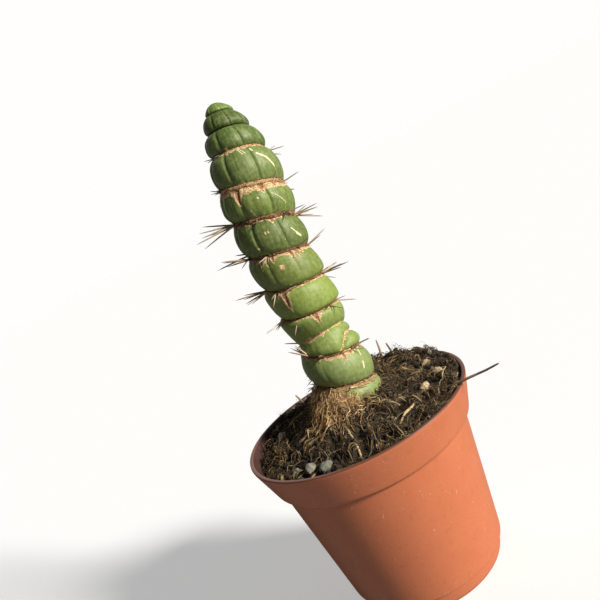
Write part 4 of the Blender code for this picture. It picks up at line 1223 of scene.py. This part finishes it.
def pot_paint():
    """Mottled matt plastic with scuffs, pale specks and dirt, a rim edge dark in its own colour, and an
    inside that is dark partly in its own colour and partly with painted shade.
    """
    paint = Paint("terracotta_plastic_paint", 0.42)
    paint.tone = paint.mix(paint.grain(14, 3), (0.44, 0.124, 0.052), (0.50, 0.157, 0.070))
    spot = paint.place()
    paint.tint(paint.band(paint.grain(0.8, 5), 0.35, 0.75), (0.54, 0.20, 0.10), 0.16)
    marks = None
    for tilt, gate in SCUFFS:
        turned = paint.node("VectorRotate", {"Vector": spot, "Axis": (0.2, 1.0, 0.1),
                                             "Angle": tilt}, rotation_type="AXIS_ANGLE")
        thin = paint.node("VectorMath", {0: turned, 1: (1.6, 1.6, 0.035)}, operation="MULTIPLY")
        line = paint.band(paint.grain(1.0, 1.5, thin), 0.70, 0.76)
        line = paint.times(line, paint.band(paint.grain(gate, 1), 0.45, 0.6))
        marks = paint.most(marks, line) if marks else line
    paint.tint(marks, (0.68, 0.42, 0.30), 0.45)
    specks = paint.times(paint.dots(4.3, 0.08), paint.band(paint.grain(11, 1), 0.45, 0.6))
    paint.tint(specks, (0.66, 0.42, 0.28), 0.7)
    paint.tint(paint.band(paint.grain(3, 5), 0.55, 0.8), (0.22, 0.075, 0.045), 0.25)
    high = paint.node("SeparateXYZ", {0: spot}, "Z")
    edge = paint.band(high, POT_HEIGHT / MM - 0.75, POT_HEIGHT / MM - 0.25)
    # The rim's top edge is dark brown in its own colour; the inside wall is darkened partly for its own
    # colour and partly as painted shade
    dark_rim_and_inside_shade = paint.most(paint.times(edge, 0.8), paint.value("inner"))
    paint.tint(dark_rim_and_inside_shade, paint.mix(paint.grain(2, 4), (0.040, 0.021, 0.019), (0.085, 0.040, 0.034)))
    paint.set("Roughness", paint.span(paint.grain(4, 4), 0.36, 0.55))
    return paint.done(paint.calc("SUBTRACT", paint.grain(0.5, 3), marks), 0.035)


def peat_paint():
    paint = Paint("peat_paint", 0.95)
    paint.tone = paint.ramp(paint.grain(1.5, 6), PEAT_STOPS)
    return paint.done(paint.grain(0.5, 5), 0.3)


def stone_paint():
    paint = Paint("grit_paint", 0.8)
    paint.tone = paint.ramp(paint.value("shade"), STONE_STOPS)
    paint.tint(paint.band(paint.grain(1.6, 5), 0.35, 0.75), (0.085, 0.080, 0.065), 0.55)
    return paint.done(paint.grain(0.5, 3), 0.05)


def make_view():
    scene = bpy.context.scene
    scene.view_settings.view_transform = "Standard"
    camera = linked("camera", bpy.data.cameras.new("camera"))
    camera.data.lens = CAMERA_LENS
    camera.data.clip_start = 0.01
    turn = Vector(CAMERA_AIM).to_track_quat("-Z", "Y").to_matrix().to_4x4()
    roll = Matrix.Rotation(CAMERA_ROLL, 4, "Z")
    camera.matrix_world = Matrix.Translation(CAMERA_PLACE) @ turn @ roll
    scene.camera = camera
    for name, place, strength, angle in SUNS:
        sun = linked(name, bpy.data.lights.new(name, "SUN"))
        sun.data.energy = strength
        sun.data.color = SUN_COLOUR
        sun.data.angle = angle
        sun.rotation_euler = Vector(place).to_track_quat("Z", "Y").to_euler()
    scene.world = bpy.data.worlds.new("studio")
    scene.world.use_nodes = True
    tree = scene.world.node_tree
    sky = tree.nodes["Background"]
    sky.inputs["Color"].default_value = SKY_COLOUR
    seen = tree.nodes.new("ShaderNodeLightPath").outputs["Is Camera Ray"]
    level = tree.nodes.new("ShaderNodeMapRange")
    level.inputs["To Min"].default_value = FILL_LIGHT
    level.inputs["To Max"].default_value = BACKGROUND
    tree.links.new(seen, level.inputs["Value"])
    tree.links.new(level.outputs[0], sky.inputs["Strength"])


def make_floor():
    """A plain pale floor, which looks paler than the light that it throws back."""
    paint = Paint("floor_paint", 1.0)
    seen = paint.node("LightPath", {}, "Is Camera Ray")
    paint.tone = paint.mix(seen, FLOOR_LIGHT, FLOOR_SEEN)
    paint.set("Specular IOR Level", 0.0)
    paint.set("Emission Color", paint.mix(seen, (0, 0, 0), (1, 1, 1)))
    paint.set("Emission Strength", FLOOR_GLOW)
    points = [(x * FLOOR_HALF, y * FLOOR_HALF, 0) for x, y in ((-1, -1), (1, -1), (1, 1), (-1, 1))]
    floor = mesh_object("floor", points, [(0, 1, 2, 3)])
    floor.data.materials.append(paint.done())


make_view()
make_floor()
make_pot(pot_paint())
make_stem(skin_paint())
make_felt(felt_paint())
make_fuzz(strand_paint("areole_fuzz_paint", FUZZ_STOPS, 0.9))
make_spines(strand_paint("spine_paint", SPINE_STOPS, 0.6, SPINE_TIP, 0.25))
LOOSE = make_loose_pieces()
make_soil(peat_paint())
make_crumbs(strand_paint("crumb_paint", CRUMB_STOPS, 0.95))
fibre_paint = strand_paint("fibre_paint", FIBRE_STOPS, 0.85)
layer_draw = np.random.default_rng(41)
for layer in LAYERS:
    strew(layer_draw, fibre_paint, *layer)
make_rim_wisps(fibre_paint)
make_base_roots(strand_paint("root_paint", ROOT_STOPS, 0.8))
